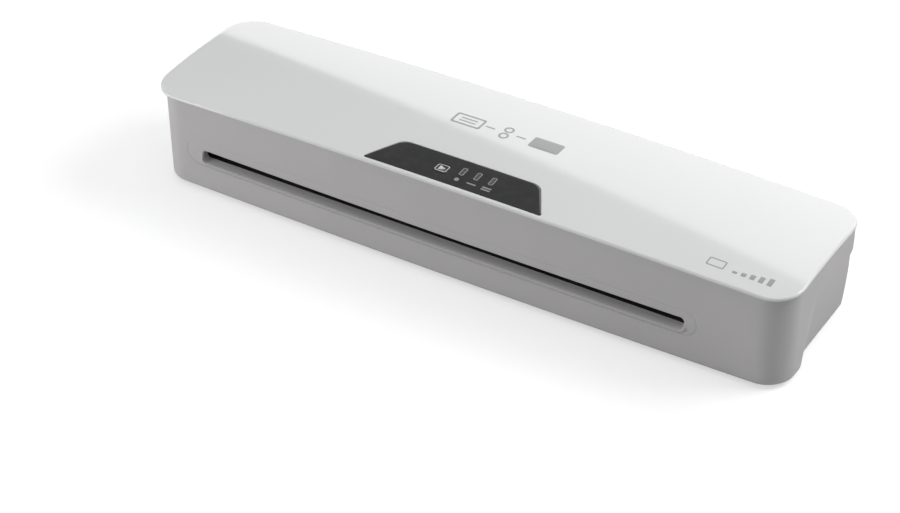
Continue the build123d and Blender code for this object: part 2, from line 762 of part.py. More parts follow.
def side_plate(inner, outer, drilled):
    """Steel side plate with a foot tab at each end, a spring seat along its top and a bar window."""
    direction = 1 if outer < inner else -1
    with BuildPart() as plate:
        with BuildSketch(Plane.YZ.offset(min(inner, outer))):
            with BuildLine() as outline:
                Polyline((plate_front, plate_bottom), (plate_rear, plate_bottom), (plate_rear, ear_low),
                         (ear_rear, ear_low), (ear_rear, plate_top - 2), (plate_rear, plate_top - 2),
                         (plate_rear, plate_top), (plate_front, plate_top), close=True)
            make_face(outline.edges())
            with Locations((hot_y, lower_z), (cold_y, lower_z)):
                Circle(bush_outer / 2 + seat_clearance, mode=Mode.SUBTRACT)
            with Locations((hot_y, upper_z + lift_travel / 2), (cold_y, upper_z + lift_travel / 2)):
                SlotOverall(journal + lift_travel + 2 * slot_clear, journal + 2 * slot_clear, rotation=90,
                            mode=Mode.SUBTRACT)
            with Locations(*rod_places):
                Circle(rod_hole / 2, mode=Mode.SUBTRACT)
            with Locations((bar_y + bar_thickness / 2, (bar_low + bar_top + 2) / 2)):
                Rectangle(bar_thickness + 0.6, bar_top + 2.6 - bar_low, mode=Mode.SUBTRACT)
            with Locations(*drilled):
                Circle(rod_hole / 2, mode=Mode.SUBTRACT)
        extrude(amount=plate_thickness)
        with BuildSketch(Plane.XY.offset(plate_bottom)):
            for tab_y in (tab_places[0][1], tab_places[1][1]):
                with Locations((inner + direction * seat_width / 2, tab_y)):
                    Rectangle(seat_width, tab_width)
                with Locations((inner + direction * 4, tab_y)):
                    Circle(rod_hole / 2, mode=Mode.SUBTRACT)
        extrude(amount=plate_thickness)
        with BuildSketch(Plane.XY.offset(plate_top - plate_thickness)):
            with Locations((inner + direction * seat_width / 2, (seat_front + plate_rear) / 2)):
                Rectangle(seat_width, plate_rear - seat_front)
        extrude(amount=plate_thickness)
    return plate.part


with BuildPart() as side_plate_left:
    add(side_plate(plate_left_inner, plate_left_outer, []))
side_plate_left.part.label = "side_plate_left"

with BuildPart() as side_plate_right:
    add(side_plate(plate_right_inner, plate_right_outer, standoff_places))
    with BuildSketch(Plane.YZ.offset(plate_right_inner)):
        with Locations((idler_y, lower_z)):
            Circle(idler_pin_diameter / 2 + seat_clearance)
    extrude(amount=plate_thickness, mode=Mode.SUBTRACT)
side_plate_right.part.label = "side_plate_right"

with BuildPart() as tie_rods:
    with BuildSketch(Plane.YZ.offset(plate_left_inner)):
        with Locations(*rod_places):
            Circle(rod_diameter / 2)
            Circle(pilot / 2, mode=Mode.SUBTRACT)
    extrude(amount=plate_right_inner - plate_left_inner)
tie_rods.part.label = "tie_rods"


def carriage_plate(left_face):
    """Pressure plate: carries both upper rollers, and its rear arm rides on the release bar."""
    inward = 1 if left_face < 0 else -1
    seat_x = left_face + plate_thickness if inward == 1 else left_face
    with BuildPart() as plate:
        with BuildSketch(Plane.YZ.offset(left_face)):
            with BuildLine() as outline:
                Polyline((hot_y - 10, carriage_low), (cold_y + 10, carriage_low),
                         (cold_y + 10, arm_low), (bar_y + bar_thickness + 1, arm_low),
                         (bar_y + bar_thickness + 1, arm_top), (cold_y + 6, arm_top),
                         (cold_y + 6, carriage_top), (hot_y - 10, carriage_top), close=True)
            make_face(outline.edges())
            with Locations((hot_y, upper_z), (cold_y, upper_z)):
                Circle(bush_outer / 2 + seat_clearance, mode=Mode.SUBTRACT)
        extrude(amount=plate_thickness)
        with BuildSketch(Plane.XY.offset(carriage_top - plate_thickness)):
            with Locations((seat_x + inward * 3.5, (hot_y - 10 + cold_y + 5.5) / 2)):
                Rectangle(7, cold_y + 5.5 - hot_y + 10)
        extrude(amount=plate_thickness)
    return plate.part


carriage_low = 31.0
carriage_top = 55.5
arm_top = 59.8
with BuildPart() as pressure_plate_left:
    add(carriage_plate(carriage_left))
pressure_plate_left.part.label = "pressure_plate_left"

with BuildPart() as pressure_plate_right:
    add(carriage_plate(carriage_right))
pressure_plate_right.part.label = "pressure_plate_right"


def bush_form():
    """Flanged plain bush, flange at the origin, body along +Z."""
    with BuildPart() as bush:
        with BuildSketch():
            Circle(bush_flange / 2)
        extrude(amount=-bush_flange_width)
        with BuildSketch():
            Circle(bush_outer / 2)
        extrude(amount=plate_thickness)
        with BuildSketch(Plane.XY.offset(-bush_flange_width)):
            Circle(journal / 2 + running_clearance)
        extrude(amount=plate_thickness + bush_flange_width, mode=Mode.SUBTRACT)
    return bush.part


bush = bush_form()
with BuildPart() as lower_bushes:
    with Locations(*[Location((plate_right_inner, y, lower_z), (0, 90, 0)) for y in (hot_y, cold_y)]):
        add(bush)
    with Locations(*[Location((plate_left_inner, y, lower_z), (0, -90, 0)) for y in (hot_y, cold_y)]):
        add(bush)
lower_bushes.part.label = "lower_bushes"

with BuildPart() as upper_bushes:
    with Locations(*[Location((carriage_right, y, upper_z), (0, 90, 0)) for y in (hot_y, cold_y)]):
        add(bush)
    with Locations(*[Location((carriage_left + plate_thickness, y, upper_z), (0, -90, 0))
                     for y in (hot_y, cold_y)]):
        add(bush)
upper_bushes.part.label = "upper_bushes"

spring_low = carriage_top
spring_high = plate_top - plate_thickness
spring_wire = 0.7
spring_radius = 2.6
spring_turns = 4
spring_places = [(x, y) for x in (carriage_left + plate_thickness + 3.6, carriage_right - 3.6)
                 for y in (hot_y, cold_y)]
with BuildPart() as spring:
    height = spring_high - spring_low - 2 * spring_wire
    with BuildLine() as coil:
        Helix(pitch=height / spring_turns, height=height, radius=spring_radius,
              center=(0, 0, spring_low + spring_wire))
    with BuildSketch(Plane(coil.line @ 0, z_dir=coil.line % 0)):
        Circle(spring_wire / 2)
    sweep(path=coil.line)
with BuildPart() as pressure_springs:
    with Locations(*spring_places):
        add(spring.part)
pressure_springs.part.label = "pressure_springs"

# ---------------------------------------------------------------- rollers and gears

sleeve_radius = roller_radius - sleeve_relief / 2
sleeve_left = slot_left + 1
sleeve_length = slot_length - 2
core_left = plate_left_outer - 4
core_right = gear_x + gear_width + 1.2
shoulder_left = carriage_left + plate_thickness + bush_flange_width + 0.4
shoulder_right = carriage_right - bush_flange_width - 0.4
roller_places = {"hot_lower": (hot_y, lower_z), "hot_upper": (hot_y, upper_z),
                 "cold_lower": (cold_y, lower_z), "cold_upper": (cold_y, upper_z)}
half_pitch = 180 / roller_teeth
gear_starts = {"hot_lower": 0, "hot_upper": 270 + half_pitch,
               "cold_lower": 0, "cold_upper": 270 + half_pitch}
rollers = []
for name, (y, z) in roller_places.items():
    with BuildPart() as core:
        with BuildSketch(Plane.YZ.offset(core_left)):
            with Locations((y, z)):
                Circle(journal / 2)
        extrude(amount=core_right - core_left)
        with BuildSketch(Plane.YZ.offset(shoulder_left)):
            with Locations((y, z)):
                Circle(roller_core / 2)
        extrude(amount=shoulder_right - shoulder_left)
        chamfer(core.faces().sort_by(Axis.X)[0].edges() + core.faces().sort_by(Axis.X)[-1].edges(), 0.5)
    core.part.label = f"{name}_core"
    with BuildPart() as sleeve:
        with BuildSketch(Plane.YZ.offset(sleeve_left)):
            with Locations((y, z)):
                Circle(sleeve_radius)
                Circle(roller_core / 2 + seat_clearance, mode=Mode.SUBTRACT)
        extrude(amount=sleeve_length)
    sleeve.part.label = f"{name}_sleeve"
    with BuildPart() as gear:
        with BuildSketch(Plane.YZ.offset(gear_x)):
            gear_outline(y, z, roller_teeth, gear_starts[name])
            with Locations((y, z)):
                Circle(journal / 2 + seat_clearance, mode=Mode.SUBTRACT)
        extrude(amount=gear_width)
    gear.part.label = f"{name}_gear"
    rollers += [core, sleeve, gear]

with BuildPart() as idler_gear:
    with BuildSketch(Plane.YZ.offset(gear_x)):
        gear_outline(idler_y, lower_z, idler_teeth, 180 + 180 / idler_teeth)
        with Locations((idler_y, lower_z)):
            Circle(idler_pin_diameter / 2 + running_clearance, mode=Mode.SUBTRACT)
    extrude(amount=gear_width)
idler_gear.part.label = "idler_gear"

bracket_x = gear_x + gear_width + 3.5
pin_groove_x = gear_x + gear_width + 1.0
with BuildPart() as idler_pin:
    with BuildSketch(Plane.YZ.offset(plate_right_inner)):
        with Locations((idler_y, lower_z)):
            Circle(idler_pin_diameter / 2)
    extrude(amount=bracket_x + plate_thickness - plate_right_inner)
    with BuildSketch(Plane.YZ.offset(pin_groove_x)):
        with Locations((idler_y, lower_z)):
            Circle(idler_pin_diameter / 2)
            Circle(idler_pin_diameter / 2 - 0.5, mode=Mode.SUBTRACT)
    extrude(amount=0.7, mode=Mode.SUBTRACT)
idler_pin.part.label = "idler_pin"

with BuildPart() as idler_clip:
    with BuildSketch(Plane.YZ.offset(pin_groove_x + 0.05)):
        with Locations((idler_y, lower_z)):
            Circle(idler_pin_diameter / 2 + 1.8)
            Circle(idler_pin_diameter / 2 - 0.45, mode=Mode.SUBTRACT)
        with Locations((idler_y, lower_z - 3)):
            Rectangle(2.4, 5, mode=Mode.SUBTRACT)
    extrude(amount=0.6)
idler_clip.part.label = "idler_clip"

# ---------------------------------------------------------------- motor

motor_x = bracket_x + plate_thickness
motor_shaft_diameter = 5.0
bracket_hole = 14.0
ear_reach = motor_radius + 5.5
motor_screw_places = [(idler_y - ear_reach, pinion_z), (idler_y + ear_reach, pinion_z)]

with BuildPart() as bracket_standoffs:
    with BuildSketch(Plane.YZ.offset(plate_right_outer)):
        with Locations(*standoff_places):
            RegularPolygon(3.2, 6)
            Circle(pilot / 2, mode=Mode.SUBTRACT)
    extrude(amount=bracket_x - plate_right_outer)
bracket_standoffs.part.label = "bracket_standoffs"

with BuildPart() as motor_bracket:
    with BuildSketch(Plane.YZ.offset(bracket_x)):
        with BuildLine() as bracket_line:
            Polyline((-40, 9), (33.5, 9), (33.5, 57), (-40, 57), close=True)
        make_face(bracket_line.edges())
        fillet(vertices(), 3)
        with Locations(*standoff_places):
            Circle(rod_hole / 2, mode=Mode.SUBTRACT)
        with Locations(*motor_screw_places):
            Circle(pilot / 2, mode=Mode.SUBTRACT)
        with Locations((idler_y, pinion_z)):
            Circle(bracket_hole / 2, mode=Mode.SUBTRACT)
        with Locations((idler_y, lower_z)):
            Circle(idler_pin_diameter / 2 + seat_clearance, mode=Mode.SUBTRACT)
    extrude(amount=plate_thickness)
motor_bracket.part.label = "motor_bracket"

plate_screw = screw_form(2.45, 6.0, 5.0, 1.6)
with BuildPart() as plate_screws:
    with Locations(*[Location((plate_right_outer, y, z), (0, 90, 0)) for y, z in rod_places]):
        add(plate_screw)
    with Locations(*[Location((plate_left_outer, y, z), (0, -90, 0)) for y, z in rod_places]):
        add(plate_screw)
    with Locations(*[Location((motor_x, y, z), (0, 90, 0)) for y, z in standoff_places]):
        add(plate_screw)
    with Locations(*[Location((plate_right_inner, y, z), (0, -90, 0)) for y, z in standoff_places]):
        add(plate_screw)
plate_screws.part.label = "plate_screws"

with BuildPart() as motor_housing:
    with BuildSketch(Plane.YZ.offset(motor_x)):
        with Locations((idler_y, pinion_z)):
            Circle(motor_radius)
    extrude(amount=motor_length)
    fillet(motor_housing.edges().filter_by(GeomType.CIRCLE), 1.5)
    with BuildSketch(Plane.YZ.offset(motor_x)):
        with Locations((idler_y, pinion_z)):
            SlotOverall(2 * ear_reach + 8, 8)
        with Locations(*motor_screw_places):
            Circle(rod_hole / 2, mode=Mode.SUBTRACT)
    extrude(amount=1.2)
    with BuildSketch(Plane.YZ.offset(motor_x)):
        with Locations((idler_y, pinion_z)):
            Circle(motor_shaft_diameter / 2 + running_clearance)
    extrude(amount=3, mode=Mode.SUBTRACT)
motor_housing.part.label = "motor_housing"

frame_screw = screw_form(2.45, 4.5, 5.0, 1.6)
with BuildPart() as frame_screws:
    with Locations(*[Location((x, y, plate_bottom + plate_thickness)) for x, y in tab_places]):
        add(frame_screw)
    with Locations(*[Location((motor_x + 1.2, y, z), (0, 90, 0)) for y, z in motor_screw_places]):
        add(frame_screw)
frame_screws.part.label = "frame_screws"

with BuildPart() as motor_shaft:
    with BuildSketch(Plane.YZ.offset(gear_x - 0.6)):
        with Locations((idler_y, pinion_z)):
            Circle(motor_shaft_diameter / 2)
    extrude(amount=motor_x + 2.5 - gear_x + 0.6)
motor_shaft.part.label = "motor_shaft"

with BuildPart() as motor_pinion:
    with BuildSketch(Plane.YZ.offset(gear_x)):
        gear_outline(idler_y, pinion_z, pinion_teeth, 270 + 180 / pinion_teeth)
        with Locations((idler_y, pinion_z)):
            Circle(motor_shaft_diameter / 2 + seat_clearance, mode=Mode.SUBTRACT)
    extrude(amount=gear_width)
motor_pinion.part.label = "motor_pinion"

# ---------------------------------------------------------------- heating

shoe_inner = roller_radius + 0.7
shoe_wall = 1.8
shoe_span = 68.0
element_thickness = 0.6
rib_width = 6.0
rib_rise = 2.0


def shoe_arc(radius_in, radius_out, centre_z, middle, span):
    """Part-ring section about a hot roller, in the plane across the machine."""
    with BuildLine() as ring:
        start = middle - span
        end = middle + span
        ThreePointArc(*[(hot_y + radius_out * cos(radians(a)), centre_z + radius_out * sin(radians(a)))
                        for a in (start, middle, end)])
        ThreePointArc(*[(hot_y + radius_in * cos(radians(a)), centre_z + radius_in * sin(radians(a)))
                        for a in (start, middle, end)])
        for a in (start, end):
            Line((hot_y + radius_in * cos(radians(a)), centre_z + radius_in * sin(radians(a))),
                 (hot_y + radius_out * cos(radians(a)), centre_z + radius_out * sin(radians(a))))
    make_face(ring.edges())


shoe_outer = shoe_inner + shoe_wall
shoe_parts = {}
for name, centre_z, middle, left, right in (
        ("upper", upper_z, 90, carriage_left + plate_thickness, carriage_right),
        ("lower", lower_z, 270, plate_left_inner, plate_right_inner)):
    away = 1 if middle == 90 else -1
    with BuildPart() as shoe:
        with BuildSketch(Plane.YZ.offset(sleeve_left)):
            shoe_arc(shoe_inner, shoe_outer, centre_z, middle, shoe_span)
        extrude(amount=sleeve_length)
        if name == "upper":
            with BuildSketch(Plane.YZ.offset(left)):
                with Locations((hot_y, centre_z + shoe_outer + rib_rise / 2 - 0.2)):
                    Rectangle(rib_width, rib_rise)
            extrude(amount=right - left)
        else:
            for edge_y in (hot_y - shoe_outer + 1.2, hot_y + shoe_outer - 1.2):
                with BuildSketch(Plane.YZ.offset(left)):
                    with Locations((edge_y, centre_z - 4.6)):
                        Rectangle(2.0, 5.0)
                extrude(amount=right - left)
    shoe.part.label = f"heater_shoe_{name}"
    with BuildPart() as element:
        for side in (-40, 40):
            with BuildSketch(Plane.YZ.offset(sleeve_left + 8)):
                shoe_arc(shoe_outer + 0.02, shoe_outer + element_thickness, centre_z,
                         middle + side, 17 if name == "upper" else 13)
            extrude(amount=sleeve_length - 16)
    element.part.label = f"heater_element_{name}"
    shoe_parts[name] = (shoe, element)

shoe_top = upper_z + shoe_outer + rib_rise - 0.2
with BuildPart() as thermostat:
    with BuildSketch(Plane.XY.offset(shoe_top)):
        with Locations((-110, hot_y)):
            Circle(6)
    extrude(amount=3.2)
    with BuildSketch(Plane.XY.offset(shoe_top + 3.2)):
        with Locations((-110, hot_y)):
            Circle(5)
    extrude(amount=2.2)
thermostat.part.label = "thermostat"

with BuildPart() as thermal_fuse:
    with BuildSketch(Plane.YZ.offset(90)):
        with Locations((hot_y, shoe_top + 2.02)):
            Circle(2)
    extrude(amount=12)
    with BuildSketch(Plane.YZ.offset(84)):
        with Locations((hot_y, shoe_top + 2.02)):
            Circle(0.6)
    extrude(amount=24)
thermal_fuse.part.label = "thermal_fuse"

# ---------------------------------------------------------------- power board

power_x = core_left - 2.0
power_width = 46.0
power_low = 14.0
power_high = 56.0
power_y = -2.0
power_screw_places = [(power_y + dy, z) for dy in (-19.5, 19.5) for z in (nip_height, power_high - 3.5)]

with BuildPart() as power_board:
    with BuildSketch(Plane.YZ.offset(power_x - board_thickness)):
        with Locations((power_y, (power_low + power_high) / 2)):
            Rectangle(power_width, power_high - power_low)
        with Locations(*power_screw_places):
            Circle(1.3, mode=Mode.SUBTRACT)
    extrude(amount=board_thickness)
power_board.part.label = "power_board"

with BuildPart() as power_posts:
    with BuildSketch(Plane.YZ.offset(power_x)):
        with Locations(*power_screw_places):
            Circle(2.5)
            Circle(1.0, mode=Mode.SUBTRACT)
    extrude(amount=plate_left_outer - power_x)
power_posts.part.label = "power_posts"

board_screw = screw_form(2.0, 5.0, 4.0, 1.4)
with BuildPart() as board_screws:
    with Locations(*[Location((power_x - board_thickness, y, z), (0, -90, 0))
                     for y, z in power_screw_places]):
        add(board_screw)
    with Locations(*[Location((x, y, board_top - board_thickness), (180, 0, 0))
                     for x, y in board_screw_places]):
        add(board_screw)
board_screws.part.label = "board_screws"

with BuildPart() as power_relay:
    with BuildSketch(Plane.YZ.offset(power_x - board_thickness)):
        with Locations((power_y + 8, 44)):
            RectangleRounded(15, 11, 0.8)
    extrude(amount=-10)
power_relay.part.label = "power_relay"

with BuildPart() as mains_capacitor:
    with BuildSketch(Plane.YZ.offset(power_x - board_thickness)):
        with Locations((power_y - 9, 44)):
            RectangleRounded(13, 8, 1)
    extrude(amount=-9)
mains_capacitor.part.label = "mains_capacitor"

with BuildPart() as power_transformer:
    with BuildSketch(Plane.YZ.offset(power_x - board_thickness)):
        with Locations((power_y, 25)):
            RectangleRounded(18, 14, 1.5)
    extrude(amount=-9)
power_transformer.part.label = "power_transformer"

# ---------------------------------------------------------------- write the parts

pieces = [top_cover, control_panel, start_button, indicator_lenses, base_housing, rubber_feet, cover_screws,
          control_board, board_screws, start_switch, indicator_leds,
          entry_bezel, entry_guide, exit_guide, cord_gland, switch_frame, mains_rocker,
          release_bar, release_knob, side_plate_left, side_plate_right, tie_rods, plate_screws,
          frame_screws, pressure_plate_left, pressure_plate_right, lower_bushes, upper_bushes,
          pressure_springs, *rollers, idler_gear, idler_pin, idler_clip,
          bracket_standoffs, motor_bracket, motor_housing, motor_shaft,
          motor_pinion, *shoe_parts["upper"], *shoe_parts["lower"], thermostat, thermal_fuse,
          power_board, power_posts, power_relay, mains_capacitor, power_transformer]

os.makedirs("parts", exist_ok=True)
for piece in pieces:
    export_step(piece.part, f"parts/{piece.part.label}.step")
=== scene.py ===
"""Pouch laminator: its visible shells, trims, marks and finishes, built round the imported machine."""

import math

import bmesh
import bpy
import numpy as np
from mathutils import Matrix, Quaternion, Vector


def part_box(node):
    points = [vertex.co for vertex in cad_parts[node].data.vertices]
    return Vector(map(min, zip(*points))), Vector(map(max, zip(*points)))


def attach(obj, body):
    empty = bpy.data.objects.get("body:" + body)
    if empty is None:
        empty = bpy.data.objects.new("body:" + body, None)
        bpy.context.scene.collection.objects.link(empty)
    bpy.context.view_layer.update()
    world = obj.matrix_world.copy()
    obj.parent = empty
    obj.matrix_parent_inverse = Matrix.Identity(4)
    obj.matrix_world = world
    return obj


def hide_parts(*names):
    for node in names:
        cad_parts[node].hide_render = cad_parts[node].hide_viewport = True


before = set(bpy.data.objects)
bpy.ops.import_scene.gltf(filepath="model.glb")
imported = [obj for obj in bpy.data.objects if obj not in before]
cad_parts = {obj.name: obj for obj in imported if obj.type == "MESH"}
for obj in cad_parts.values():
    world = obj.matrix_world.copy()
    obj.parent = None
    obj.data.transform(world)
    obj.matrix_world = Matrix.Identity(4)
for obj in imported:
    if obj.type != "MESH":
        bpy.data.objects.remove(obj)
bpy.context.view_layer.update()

MM = 0.001
CORNER_STEPS = 12
SIDE_STEPS = 56
LONG_STEPS = 90


def corners(node):
    """Lowest and highest corner of a machine part, in millimetres."""
    low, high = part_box(node)
    return np.array(low) / MM, np.array(high) / MM


# ------------------------------------------------------------------ sizes read from the machine

cover_low, cover_high = corners("top_cover")
body_high = corners("base_housing")[1]
panel_low, panel_high = corners("control_panel")
button_low, button_high = corners("start_button")
lens_low, lens_high = corners("indicator_lenses")
bezel_low, bezel_high = corners("entry_bezel")
guide_low, guide_high = corners("entry_guide")
exit_low, exit_high = corners("exit_guide")
switch_low, switch_high = corners("switch_frame")
gland_low, gland_high = corners("cord_gland")
knob_low, knob_high = corners("release_knob")
feet_low, feet_high = corners("rubber_feet")

cover_half = cover_high[0]
front_bow, rear_bow = 2.1, 0.5
cover_front = cover_low[1] + front_bow
cover_rear = cover_high[1] - rear_bow
cover_corner = 19.0
cover_wall = 2.4
crown = cover_high[2]
crown_sag, crown_reach = 3.13, 56.5
crown_radius = (crown_reach**2 + crown_sag**2) / (2 * crown_sag)
arch = 4.0
arch_radius = (cover_half**2 + arch**2) / (2 * arch)
arch_centre = crown - 4.9 - arch_radius

foot = feet_low[2] + 2.5
body_half = body_high[0]
body_top = crown - cover_wall
body_wall = 2.4
front_corner, rear_corner = 18.2, 6.0
base_radius = 2.2
ledge_low, ledge_high = 44.3, 47.0
band_rear = body_high[1] - 0.1
rear_foot_y, rear_ledge_y = 45.5, 38.8
grip_depth, grip_top = 4.9, 52.0

mouth_floor, mouth_top = 23.7, 31.8
mouth_half = (guide_high[0] - guide_low[0]) / 2 - 5.5
mouth_x = (guide_high[0] + guide_low[0]) / 2
throat_floor, throat_top = 24.7, 31.2


def top_height(x, y):
    """Height of the crowned and arched cover over a place on the table."""
    profile = crown - crown_radius + np.sqrt(crown_radius**2 - np.square(y))
    return arch_centre + np.sqrt((profile - arch_centre) ** 2 - np.square(x))


# ------------------------------------------------------------------ outlines

def plan_line(half, front, rear, bow_front, bow_rear, radius_front, radius_rear, inset=0.0):
    """The machine's outline from above, as a closed loop of evenly counted points."""
    half, front, rear = half - inset, front + inset, rear - inset
    sides = []
    for level, bow, radius, away in ((front, -bow_front, max(radius_front - inset, 0.3), -1),
                                     (rear, bow_rear, max(radius_rear - inset, 0.3), 1)):
        lean = math.atan(2 * abs(bow) * (half - radius) / half**2)
        join = half - radius + radius * math.sin(lean)
        centre = level + bow * (1 - (join / half) ** 2) - away * radius * math.cos(lean)
        turn = np.linspace(0, math.pi / 2 - lean, CORNER_STEPS)
        round_x = half - radius + radius * np.cos(turn)
        round_y = centre + away * radius * np.sin(turn)
        long_x = np.linspace(0, join, LONG_STEPS)[:-1]
        long_y = level + bow * (1 - (long_x / half) ** 2)
        sides.append((long_x, long_y, round_x, round_y))
    (fx, fy, fcx, fcy), (rx, ry, rcx, rcy) = sides
    side_y = np.linspace(fcy[0], rcy[0], SIDE_STEPS)[1:-1]
    xs = np.concatenate([fx, fcx[::-1], np.full(len(side_y), half), rcx, rx[::-1]])
    ys = np.concatenate([fy, fcy[::-1], side_y, rcy, ry[::-1]])
    return np.column_stack([np.concatenate([xs, -xs[-2:0:-1]]), np.concatenate([ys, ys[-2:0:-1]])])


def cover_line(inset=0.0):
    return plan_line(cover_half, cover_front, cover_rear, front_bow, rear_bow,
                     cover_corner, cover_corner, inset)


def round_box(centre_a, centre_b, half_a, half_b, radius, steps=8, long_steps=2):
    """Rectangle with round corners as a closed loop in its own plane, anticlockwise."""
    radius = min(radius, half_a, half_b)
    loop = []
    for turn, (sa, sb) in enumerate(((1, -1), (1, 1), (-1, 1), (-1, -1))):
        angle = np.linspace(0, math.pi / 2, steps) + (turn - 1) * math.pi / 2
        loop += [(centre_a + sa * (half_a - radius) + radius * math.cos(t),
                  centre_b + sb * (half_b - radius) + radius * math.sin(t)) for t in angle]
        if turn in (1, 3) and long_steps > 2:
            start, end = loop[-1], (centre_a - sa * (half_a - radius), loop[-1][1])
            loop += [(start[0] + (end[0] - start[0]) * k / long_steps, start[1])
                     for k in range(1, long_steps)]
    return np.array(loop)


def panel_line(inset=0.0):
    """Plan of the control panel: a trapezium with large round back corners."""
    front, back = panel_low[1] + inset, panel_high[1] - inset
    front_half, back_half = panel_high[0] + 0.15 - inset, 46.0 - inset
    lean = math.atan2(front_half - back_half, back - front)
    loop = []
    for x, y, radius, start, sweep in ((front_half, front, 1.2, -math.pi / 2, math.pi / 2 + lean),
                                       (back_half, back, 9.0, lean, math.pi / 2 - lean)):
        tangent = radius * math.tan(sweep / 2)
        along = 0 if start < 0 else 1
        cx = x - tangent if along == 0 else x - tangent
        cy = y + radius if along == 0 else y - radius
        loop += [(cx + radius * math.cos(start + sweep * k / 14),
                  cy + radius * math.sin(start + sweep * k / 14))
                 for k in range(15)]
    right = np.array(loop)
    middle_back = [(right[-1, 0] * (1 - k / 20), back) for k in range(1, 20)]
    middle_front = [(right[0, 0] * (k / 20), front) for k in range(1, 20)]
    left = right[::-1] * (-1, 1)
    full_back = middle_back + [(0, back)] + [(-x, y) for x, y in middle_back[::-1]]
    full_front = [(-x, y) for x, y in middle_front[::-1]] + [(0, front)] + middle_front
    return np.concatenate([right, full_back, left, full_front])


# ------------------------------------------------------------------ mesh making

def loft(rings, closed=True):
    """Quads between loops with the same count, capped at both ends when closed."""
    count = len(rings[0])
    faces = [(r * count + i, r * count + (i + 1) % count,
              (r + 1) * count + (i + 1) % count, (r + 1) * count + i)
             for r in range(len(rings) - 1) for i in range(count)]
    if closed:
        last = (len(rings) - 1) * count
        faces += [tuple(range(count))[::-1], tuple(range(last, last + count))]
    return np.concatenate(rings), faces


def joined(*shapes):
    """Several (points, faces) shapes as one."""
    points, faces, start = [], [], 0
    for shape_points, shape_faces in shapes:
        points.append(shape_points)
        faces += [tuple(i + start for i in face) for face in shape_faces]
        start += len(shape_points)
    return np.concatenate(points), faces


def mesh_object(name, shape, sharp=32.0):
    """A mesh object with outward faces, smooth but for edges sharper than the given angle."""
    points, faces = shape
    mesh = bpy.data.meshes.new(name)
    mesh.from_pydata([tuple(p * MM) for p in points], [], faces)
    work = bmesh.new()
    work.from_mesh(mesh)
    bmesh.ops.remove_doubles(work, verts=work.verts, dist=1e-7)
    bmesh.ops.recalc_face_normals(work, faces=work.faces)
    work.to_mesh(mesh)
    work.free()
    settle_shading(mesh, sharp)
    obj = bpy.data.objects.new(name, mesh)
    bpy.context.scene.collection.objects.link(obj)
    return obj


def settle_shading(mesh, sharp):
    mesh.polygons.foreach_set("use_smooth", [True] * len(mesh.polygons))
    mesh.set_sharp_from_angle(angle=math.radians(sharp))


def settle_modifiers(obj, sharp=32.0):
    """Turns an object's modifiers into plain mesh."""
    bpy.context.view_layer.update()
    depsgraph = bpy.context.evaluated_depsgraph_get()
    mesh = bpy.data.meshes.new_from_object(obj.evaluated_get(depsgraph), depsgraph=depsgraph)
    obj.modifiers.clear()
    obj.data = mesh
    settle_shading(mesh, sharp)
    return obj


def cut(obj, shapes, sharp=32.0):
    """Cuts closed shapes out of an object."""
    tool = mesh_object(obj.name + "_tool", joined(*shapes))
    step = obj.modifiers.new("cut", "BOOLEAN")
    step.operation, step.solver, step.object = "DIFFERENCE", "EXACT", tool
    settle_modifiers(obj, sharp)
    bpy.data.objects.remove(tool)
    return obj


def fit(obj, body, slot, material, *nodes):
    """Gives a finished piece its material, its body and the machine parts it stands for."""
    obj.data.materials.clear()
    obj.data.materials.append(material)
    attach(obj, body)
    if nodes:
        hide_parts(*nodes)
    return obj


def over_cover(line, lift):
    """A plan loop laid on the cover, raised by the lift."""
    return np.column_stack([line, top_height(line[:, 0], line[:, 1]) + lift])


def upright(line, y):
    """A loop of (x, z) points stood up at a distance y, which may be a number for each point."""
    return np.column_stack([line[:, 0], np.broadcast_to(y, len(line)), line[:, 1]])


def shrink(line, share):
    middle = (line.max(0) + line.min(0)) / 2
    return middle + (line - middle) * share


def prism(line, low, high):
    return loft([np.column_stack([line, np.full(len(line), h)]) for h in (low, high)])


def on_level(line, height):
    return np.column_stack([line, np.full(len(line), height)])


def flat_mark(line, lift=0.0, thickness=0.06, lay=over_cover):
    """A thin printed shape that follows the cover, or lies level."""
    steps = [shrink(line, share) for share in (0.02, 0.5, 0.94)]
    top = [lay(s, lift + thickness) for s in steps]
    under = [lay(s, lift - 0.02) for s in steps[::-1]]
    return loft(top + [lay(line, lift + thickness * 0.4)] + under)


def flat_ring(outer, inner, lift=0.0, thickness=0.06, lay=over_cover):
    """A thin printed outline that follows the cover, or lies level."""
    loops = [lay(inner, lift - 0.02), lay(inner, lift + thickness),
             lay(outer, lift + thickness), lay(outer, lift - 0.02)]
    points, faces = loft(loops, closed=False)
    count = len(outer)
    faces += [(3 * count + i, 3 * count + (i + 1) % count, (i + 1) % count, i) for i in range(count)]
    return points, faces


# ------------------------------------------------------------------ shared shader groups

def shader_group(name, inputs, outputs):
    group = bpy.data.node_groups.new(name, "ShaderNodeTree")
    for label, kind, value in inputs:
        socket = group.interface.new_socket(name=label, in_out="INPUT", socket_type="NodeSocket" + kind)
        if value is not None:
            socket.default_value = value
    for label, kind in outputs:
        group.interface.new_socket(name=label, in_out="OUTPUT", socket_type="NodeSocket" + kind)
    return group, group.nodes.new("NodeGroupInput"), group.nodes.new("NodeGroupOutput")


def node(tree, kind, settings=None, **links):
    """Adds a node. Settings are its properties; links set or join its inputs by name or number."""
    made = tree.nodes.new("ShaderNode" + kind)
    for key, value in (settings or {}).items():
        setattr(made, key, value)
    for key, value in links.items():
        by_number = key[0] == "i" and key[1:].isdigit()
        socket = made.inputs[int(key[1:]) if by_number else key.replace("_", " ")]
        if isinstance(value, bpy.types.NodeSocket):
            tree.links.new(value, socket)
        else:
            socket.default_value = value
    return made


